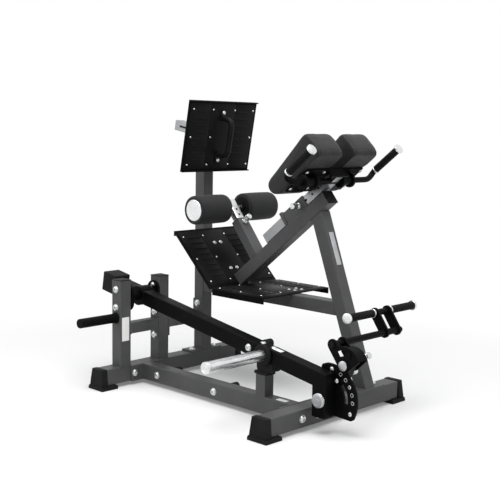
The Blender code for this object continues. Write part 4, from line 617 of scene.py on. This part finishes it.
def dress_handles():
    """Grips on the two handles, and the pull handle on the upper plate."""
    for end, y, way in (("near", 0.1849, NEARWARD), ("far", 0.2969, FARWARD)):
        start = Vector((0.580547, y, 0.441))
        grip("lever_grip_" + end, "wrist", start, way, 178.5, "handle_grip_" + end)
    for side, end in ((-1, "near"), (1, "far")):
        start = Vector((POST_FRONT_X + 0.797, CENTRE_Y + side * 0.301, 1.031))
        grip("pad_handle_grip_" + end, "pads", start, SLOPE_ALONG, 164, "pad_grip_" + end)
    pull_handle()


def pull_handle():
    """A rubber-dipped pull handle: a bent bar whose flattened ears are bolted to the upper plate."""
    def spot(rise, out):
        """A point by its way up from the plate's middle and its way out from the plate."""
        return UPPER_MIDDLE + UPPER_ALONG * rise + UPPER_OUT * out

    line = [spot(0.090, 0.004)]
    for side in (1, -1):
        for step in range(7):
            share = step / 6 if side > 0 else 1 - step / 6
            turn = share * math.pi / 2
            line.append(spot(side * (0.054 + 0.036 * math.cos(turn)), 0.041 + 0.030 * math.sin(turn)))
    line.append(spot(-0.090, 0.004))
    bar = drawn_tube(line, 13.2 * MM, steps=5)
    ears = [facing(spot(side * 0.1075, 2.4 * MM), UPPER_OUT) for side in (1, -1)]
    plates = copies(block((0.034, 0.050, 5 * MM), 2.2 * MM, 3), ears)
    handle = finish_piece(joined(bar, plates), "dipped_pull_handle", "upper", NYLON, 50)
    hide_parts("pull_handle")
    spots = [(spot(side * 0.117, 7.4 * MM), UPPER_OUT) for side in (1, -1)]
    set_fasteners("pull_handle_bolts", "upper", socket_bolt(), spots, 0.7)


def roller(name, side, node):
    """A foam roller: crowned, rounded at its ends and hugged by a bright end disc."""
    length, end_radius, crown = 196.5, 67.8, 1.2
    profile = [(59, 0), (63, 1.2), (66, 4.2), (67.4, 9), (end_radius, 14)]
    for step in range(1, 9):
        share = step / 9
        profile.append((end_radius + crown * math.sin(math.pi * share), 14 + (length - 28) * share))
    profile += [(end_radius, length - 14), (67.4, length - 9), (66, length - 4.2), (63, length - 1.2),
                (58, length), (52, length - 0.4), (50.6, length - 2.4)]
    place = facing(on_slope(AXLE_S, CENTRE_Y + side * 0.062, AXLE_N), FARWARD * side)
    foam = seat(turned(profile, 56), place)
    finish_piece(foam, name, "roller_" + node, FOAM, 60)
    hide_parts("roller_" + node)
    disc = turned([(50.4, length - 3.4), (50.4, length - 1.2), (49.4, length - 0.2), (47.5, length),
                   (46.5, length - 0.7), (6.5, length - 0.7), (5.5, length), (3.0, length),
                   (2.6, length - 1.5)], 48)
    finish_piece(seat(disc, place), name + "_disc", "roller_" + node, CHROME)
    inner = turned([(50.4, -0.6), (50.4, 0.6), (49.8, 1.0)], 48)
    collar = turned([(20, -9), (20, -0.8), (18, -0.4)], 32)
    hub = seat(joined(inner, collar), place)
    finish_piece(hub, name + "_hub", "roller_" + node, NYLON)


def dress_rollers():
    """The two rollers on their axle."""
    roller("ankle_roller_near", -1, "near")
    roller("ankle_roller_far", 1, "far")


def swell(pad):
    """Blows a closed cover up with cloth pressure. Each point goes a fifth of its way, 2 mm at most."""
    frames, part_way, most = 20, 0.2, 2 * MM
    take(pad)
    pad.data.remesh_voxel_size = 0.004
    bpy.ops.object.voxel_remesh()
    start = [corner.co.copy() for corner in pad.data.vertices]
    scene = bpy.context.scene
    scene.frame_start, scene.frame_end = 1, frames
    bpy.ops.object.modifier_add(type="CLOTH")
    cloth = pad.modifiers[-1]
    cloth.settings.use_pressure = True
    cloth.settings.uniform_pressure_force = 4
    cloth.settings.effector_weights.gravity = 0
    cloth.settings.quality = 5
    cloth.point_cache.frame_start, cloth.point_cache.frame_end = 1, frames
    for step in range(1, frames + 1):
        scene.frame_set(step)
        VIEW.update()
    bpy.ops.object.modifier_apply(modifier=cloth.name)
    scene.frame_set(1)
    for corner, home in zip(pad.data.vertices, start):
        way = (corner.co - home) * part_way
        if way.length > most:
            way *= most / way.length
        corner.co = home + way


def hip_pad(name, node):
    """A leather hip pad: foam blown up against its cover, flat on its board, seamed round both cheeks."""
    low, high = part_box(node)
    middle = (low + high) / 2
    pad = bpy.data.objects.new(name, NODES[node].data.copy())
    bpy.context.collection.objects.link(pad)
    take(pad)
    bpy.ops.object.mode_set(mode="EDIT")
    bpy.ops.mesh.select_all(action="SELECT")
    bpy.ops.mesh.remove_doubles(threshold=0.00002)
    bpy.ops.mesh.normals_make_consistent(inside=False)
    bpy.ops.transform.resize(value=(0.992, 0.985, 0.992), center_override=middle)
    bpy.ops.object.mode_set(mode="OBJECT")
    swell(pad)
    for corner in pad.data.vertices:
        height = (corner.co - SLOPE_ORIGIN).dot(SLOPE_OUT)
        if height < PAD_BACK:
            corner.co += SLOPE_OUT * (PAD_BACK - height)
    take(pad)
    bpy.ops.object.modifier_add(type="SUBSURF")
    rounder = pad.modifiers[-1]
    rounder.levels = rounder.render_levels = 1
    bpy.ops.object.modifier_apply(modifier=rounder.name)
    # The seams come after the remesh: a valley 1.8 mm deep, 13 mm in from each cheek.
    depth, width = 1.8 * MM, 0.0024
    seam = (high.y - low.y) / 2 - 0.013
    for corner in pad.data.vertices:
        off = abs(abs(corner.co.y - middle.y) - seam)
        if off < 0.006:
            height = (corner.co - SLOPE_ORIGIN).dot(SLOPE_OUT)
            inward = Vector((middle.x - corner.co.x, 0, middle.z - corner.co.z))
            if height > PAD_BACK + 0.004 and inward.length > 0.02:
                corner.co += inward.normalized() * (depth * math.exp(-(off / width) ** 2))
    finish_piece(pad, name, "pads", LEATHER, 80)
    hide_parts(node)


def dress_pads():
    """Both hip pads, with the bolts that hold their boards to the carrier."""
    hip_pad("hip_cushion_near", "hip_pad_near")
    hip_pad("hip_cushion_far", "hip_pad_far")
    # A gap of 0.3 mm and the 9 mm board lie between the pads' backs and the bolt heads.
    under = PAD_BACK - 0.0003 - 0.009
    spots = []
    for s in (1.150, 1.268):
        for y in (0.0369, 0.1500, 0.2912, 0.4044):
            spots.append((on_slope(s, y, under), -SLOPE_OUT))
    set_fasteners("pad_board_bolts", "pads", socket_bolt(), spots, 0.62)


def pull_knob():
    """A sprung pin with its knurled knob: two dozen flutes, a rolled rim and a sunk end."""
    knob = turned([(12.2, 22), (13.8, 23.4), (14.0, 26), (14.0, 42), (13.6, 46.4), (12.2, 48), (9.0, 48),
                   (8.4, 46.8)], 48)
    flute = 0.92
    for corner in knob.data.vertices:
        spin = math.atan2(corner.co.y, corner.co.x)
        if 25 * MM < corner.co.z < 43 * MM and round(spin / math.radians(7.5)) % 2:
            corner.co.x *= flute
            corner.co.y *= flute
    return joined(knob, turned([(3.6, -4), (4.8, -2.6), (4.8, 22.4)], 20))


def threaded_collar():
    """The threaded body of a sprung pin, with its locking nut."""
    rings = [(11.2, 3), (11.2, 4.2)]
    for turn in range(7):
        low = 4.4 + turn * 1.9
        rings += [(10.6, low), (11.3, low + 0.9)]
    rings += [(10.6, 17.9), (8.0, 18)]
    thread = turned(rings, 24)
    return joined(thread, turned([(14.2, 0), (14.2, 5.4), (12.4, 6.2), (11.3, 6.3)], 6))


def dress_pins():
    """A knob on each sprung pin, and the threaded body that each one slides in. Both start at their wall."""
    pins = (("mast_pin", (POST_X, 0.190125, 1.189), NEARWARD, "frame"),
            ("pad_pin", (0.14207, 0.192875, 0.869076), NEARWARD, "frame"),
            ("roller_pin", (-0.230943, CENTRE_Y, 0.767692), SLOPE_ALONG, "frame"),
            ("swing_pin", (0.674495, -0.094125, 0.249554), FARWARD, "swing"),
            ("wrist_pin", (0.731278, -0.082125, 0.319681), FARWARD, "wrist"))
    for name, root, way, holder in pins:
        place = facing(Vector(root), way)
        knob = seat(pull_knob(), place)
        finish_piece(knob, name + "_knob", name, ZINC)
        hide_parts(name)
        finish_piece(seat(threaded_collar(), place), name + "_thread", holder, ZINC)


def tube_cap(name, place):
    """A moulded end plug: a lip a little wider than its tube, and a shallow dome with a sunk square."""
    side, height = POST_SIDE + 1.4 * MM, 3.5 * MM
    plug = block((side, side, height), 1.4 * MM)
    take(plug)
    bpy.ops.object.mode_set(mode="EDIT")
    mark(lambda middle, normal: normal.z > 0.99 and middle.z > height * 0.9)
    bpy.ops.mesh.inset(thickness=5 * MM)
    bpy.ops.transform.translate(value=(0, 0, 1.0 * MM))
    bpy.ops.mesh.inset(thickness=12 * MM)
    bpy.ops.mesh.inset(thickness=0.8 * MM)
    bpy.ops.transform.translate(value=(0, 0, -1.2 * MM))
    bpy.ops.object.mode_set(mode="OBJECT")
    finish_piece(seat(plug, place), name, "frame", NYLON, 40)


def cap_tubes():
    """Plugs in the open ends of the posts and of the inclined tube."""
    for name, y in (("post_near_cap", -0.302325), ("post_far_cap", -0.068325)):
        tube_cap(name, facing((POST_X, y, 0.5006), UPWARD))
    top = on_slope(1.183, CENTRE_Y, 0.2286)
    tube_cap("incline_cap", facing(top - SLOPE_ALONG * 2 * MM, SLOPE_ALONG))


def blank_label(name, body, point, out, across, width, height):
    """A blank vinyl label with rounded corners, half a millimetre thick."""
    label = block((width, height, 0.5 * MM), 0.2 * MM, 1)
    place = facing(Vector(point), out, Vector(across))
    finish_piece(seat(label, place), name, body, BLANK_VINYL, 40)


def stick_labels():
    """Blank labels where the picture has printed ones. They carry no words."""
    blank_label("post_label", "frame", (POST_FRONT_X, -0.3035, 0.272), FRONTWARD, FARWARD, 0.042, 0.112)
    blank_label("lever_label", "lever", (0.365, -0.1741, 0.2997), LEVER_UP, FRONTWARD, 0.050, 0.026)
    blank_label("rail_label", "frame", (0.4030, -0.1830, 0.0941), UPWARD, FRONTWARD, 0.054, 0.026)


def plate_strut():
    """The long satin plate on the strut's front face, blank where the real one is printed."""
    strut_lean = math.radians(20.3)
    out = Vector((math.cos(strut_lean), 0, math.sin(strut_lean)))
    plate = block((0.030, 0.150, 1.0 * MM), 0.4 * MM)
    middle = Vector((0.3346, 0.2206, 0.6922)) + out * 0.1 * MM
    finish_piece(seat(plate, facing(middle, out)), "strut_plate", "frame", SATIN_PLATE, 40)


def ring_sector_holes():
    """The bright bushes pressed in the sector's five adjustment holes."""
    hole_circle, first_hole, hole_step = 0.119, 62.5, 15.6
    spots = []
    for step in range(5):
        angle = math.radians(first_hole - hole_step * step)
        middle = Vector((SHAFT_X + hole_circle * math.cos(angle), -0.1439,
                         SHAFT_Z + hole_circle * math.sin(angle)))
        spots.append(facing(middle, NEARWARD))
    bpy.ops.mesh.primitive_torus_add(major_radius=6.8 * MM, minor_radius=1.0 * MM, major_segments=24,
                                     minor_segments=8)
    bush = bpy.context.object
    take(bush)
    bpy.ops.object.mode_set(mode="EDIT")
    bpy.ops.mesh.select_all(action="SELECT")
    bpy.ops.transform.resize(value=(1, 1, 0.35))
    bpy.ops.object.mode_set(mode="OBJECT")
    finish_piece(copies(bush, spots), "sector_bushes", "lever", ZINC)


def weld(name, body, loops):
    """Weld beads round the joints between tubes, rippled as the torch left them."""
    radius, ripple, ripple_length = 2.2 * MM, 0.22, 3.4 * MM
    beads = []
    for loop in loops:
        fine = []
        for first, second in zip(loop, loop[1:] + loop[:1]):
            start, end = Vector(first), Vector(second)
            steps = max(2, int((end - start).length / ripple_length))
            fine += [start.lerp(end, step / steps) for step in range(steps)]
        bead = drawn_tube(fine, radius, closed=True, steps=1)
        per_ring = len(bead.data.vertices) // len(fine)
        for ring, centre in enumerate(fine):
            scale = 1.0 + ripple * (ring % 2)
            for corner in list(bead.data.vertices)[ring * per_ring:(ring + 1) * per_ring]:
                corner.co = centre + (corner.co - centre) * scale
        beads.append(bead)
    finish_piece(joined(*beads), name, body, GREY_COAT, 60)


def flat_ring(low_x, low_y, high_x, high_y, z):
    """The corners of a level rectangle."""
    return [(low_x, low_y, z), (high_x, low_y, z), (high_x, high_y, z), (low_x, high_y, z)]


def side_ring(x_low, x_high, z_low, z_high, y):
    """The corners of an upright rectangle that faces along Y."""
    return [(x_low, y, z_low), (x_high, y, z_low), (x_high, y, z_high), (x_low, y, z_high)]


def weld_frame():
    """The beads that show: round the feet of posts and mast, the tie bars' ends and the footplate beam."""
    loops = [flat_ring(-0.5453, y - 0.0318, -0.4812, y + 0.0318, 0.0946) for y in (-0.302325, -0.068325)]
    loops.append(flat_ring(-0.5453, 0.1886, -0.4812, 0.2527, 0.1016))
    loops += [side_ring(-0.5288, -0.4812, 0.2447, 0.2983, y) for y in (-0.2700, -0.1007, 0.1820)]
    loops.append([(-0.4806, 0.1886, 0.399), (-0.4806, 0.1886, 0.460), (-0.4806, 0.2527, 0.460),
                  (-0.4806, 0.2527, 0.399)])
    weld("frame_welds", "frame", loops)


def trim_weight_horn():
    """The chrome horn's pressed end, with a rolled rim, its zinc band, and the storage horn's plug."""
    end = Vector((0.3115, -0.5404, 0.274))
    rim = turned([(24.4, 0), (24.4, 0.6), (22.8, 2.4), (18.4, 2.6), (17.6, 0.9), (11.4, 0.9), (10.4, 2.2),
                  (4.2, 2.6), (3.8, 1.2)], 40)
    finish_piece(seat(rim, facing(end, NEARWARD)), "weight_horn_end", "lever", CHROME)
    band = turned([(24.7, 0), (24.9, 0.4), (24.9, 3.2), (24.7, 3.6)], 40)
    band = seat(band, facing(end + FARWARD * 12 * MM, NEARWARD))
    finish_piece(band, "weight_horn_band", "lever", ZINC)
    store = Vector((POST_X, -0.5441, 0.325))
    plug = turned([(17.5, -2.0), (19.6, -1.4), (20.4, -0.3), (17.0, 0), (6.0, 0), (5.2, -0.8)], 32)
    finish_piece(seat(plug, facing(store, NEARWARD)), "storage_horn_end", "frame", NYLON)


def trim_lever():
    """Bright faces on the shaft's knob and the wrist's pivot, and plugs in the cross bar's ends."""
    knob = Vector((0.6195, -0.2184, SHAFT_Z))
    face = turned([(27.2, -0.2), (28.2, 0.6), (26.4, 1.6), (20.4, 1.6), (19.8, 0.7), (8.2, 0.7), (7.4, 1.6),
                   (3.4, 1.6)], 40)
    finish_piece(seat(face, facing(knob, NEARWARD)), "shaft_knob_face", "swing", SATIN_PLATE)
    band = turned([(29.3, 0), (29.8, 0.6), (29.8, 2.0), (29.3, 2.6)], 40)
    band = seat(band, facing(knob + FARWARD * 9 * MM, NEARWARD))
    finish_piece(band, "shaft_knob_band", "swing", CHROME)
    pivot = Vector((0.6953, -0.1594, 0.28947))
    cover = turned([(20.3, -0.2), (20.3, 0.6), (18.6, 1.8), (4.6, 2.2), (4.2, 1.2)], 36)
    finish_piece(seat(cover, facing(pivot, NEARWARD)), "wrist_pivot_cover", "wrist", SATIN_PLATE)
    plug = turned([(11.8, -1), (13.2, 0.2), (12.4, 1.8), (8, 2.4), (6, 2.0)], 28)
    ends = [facing((0.6345, -0.1581, 0.364), NEARWARD), facing((0.6345, 0.3089, 0.364), FARWARD)]
    finish_piece(copies(plug, ends), "cross_bar_plugs", "wrist", NYLON)


def foot_model():
    """A moulded rubber foot for a tube end: a stepped slab with cut corners, and a cap that flares to it."""
    slab = block((0.112, 0.100, 0.0105), 2.0 * MM)
    take(slab)
    bpy.ops.object.mode_set(mode="EDIT")
    mark(lambda middle, normal: normal.z > 0.99)
    bpy.ops.mesh.inset(thickness=2.5 * MM)
    bpy.ops.mesh.extrude_region_move(TRANSFORM_OT_translate={"value": (0, 0, 7.0 * MM)})
    bpy.ops.transform.resize(value=(0.97, 0.97, 1), center_override=(0, 0, 17.5 * MM))
    bpy.ops.object.mode_set(mode="OBJECT")
    for corner in slab.data.vertices:
        over = abs(corner.co.x) + abs(corner.co.y) - 0.098
        if over > 0 and abs(corner.co.x) > 0.04 and abs(corner.co.y) > 0.03:
            corner.co.x -= math.copysign(over * 0.5, corner.co.x)
            corner.co.y -= math.copysign(over * 0.5, corner.co.y)
    cap_foot, cap_height, cap_y = 0.0177, 0.0783, -0.0212
    narrowing, flare = 0.165, 0.0075
    cap = block((0.0925, 0.0296, cap_height), 2.4 * MM, 3, Matrix.Translation((0, cap_y, cap_foot)))
    for corner in cap.data.vertices:
        share = (corner.co.z - cap_foot) / cap_height
        corner.co.x *= 1 - narrowing * share
        if corner.co.y < cap_y:
            corner.co.y -= flare * (1 - share)
    take(cap)
    bpy.ops.object.mode_set(mode="EDIT")
    mark(lambda middle, normal: normal.y < -0.9 and middle.y < -0.03)
    bpy.ops.mesh.inset(thickness=6 * MM)
    bpy.ops.transform.translate(value=(0, 1.0 * MM, 0))
    bpy.ops.object.mode_set(mode="OBJECT")
    return joined(slab, cap)


def dress_feet():
    """The four rubber feet, each in place of its plain solid."""
    for corner in ("rear_near", "rear_far", "front_near", "front_far"):
        node = "foot_" + corner
        low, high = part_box(node)
        middle = Vector(((low.x + high.x) / 2, (low.y + high.y) / 2, 0))
        turn = Matrix.Rotation(0 if corner.endswith("near") else math.pi, 4, "Z")
        foot = seat(foot_model(), Matrix.Translation(middle) @ turn)
        finish_piece(foot, "rubber_foot_" + corner, "frame", RUBBER, 40)
        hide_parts(node)


def detail_slides():
    """A black sheet as painted shade in the upper slide bar's slot, and the plugged holes in the roller
    post.
    """
    # The slot is not cut: a thin black sheet on the bar is painted shade where the opening is.
    slot = block((0.101, 0.010, 0.4 * MM), 0.15 * MM)
    spot = Vector((POST_X, 0.195625, 1.189)) - UPPER_OUT * 0.1105
    place = facing(spot, NEARWARD, UPPER_OUT)
    finish_piece(seat(slot, place), "upper_bar_slot_shade", "upper", NYLON)
    plug = turned([(6.2, 0), (6.2, 0.2), (5.8, 0.4), (4.2, 0.25)], 20)
    spots = [facing(on_slope(0.670, CENTRE_Y, n), SLOPE_ALONG) for n in (0.4885, 0.5185)]
    finish_piece(copies(plug, spots), "roller_post_plugs", "roller_post", NYLON)


paint_nodes()
dress_pads()
dress_rollers()
dress_handles()
plate_treads()
fasten_frame()
fasten_lever()
dress_pins()
cap_tubes()
stick_labels()
plate_strut()
ring_sector_holes()
weld_frame()
trim_weight_horn()
trim_lever()
dress_feet()
detail_slides()
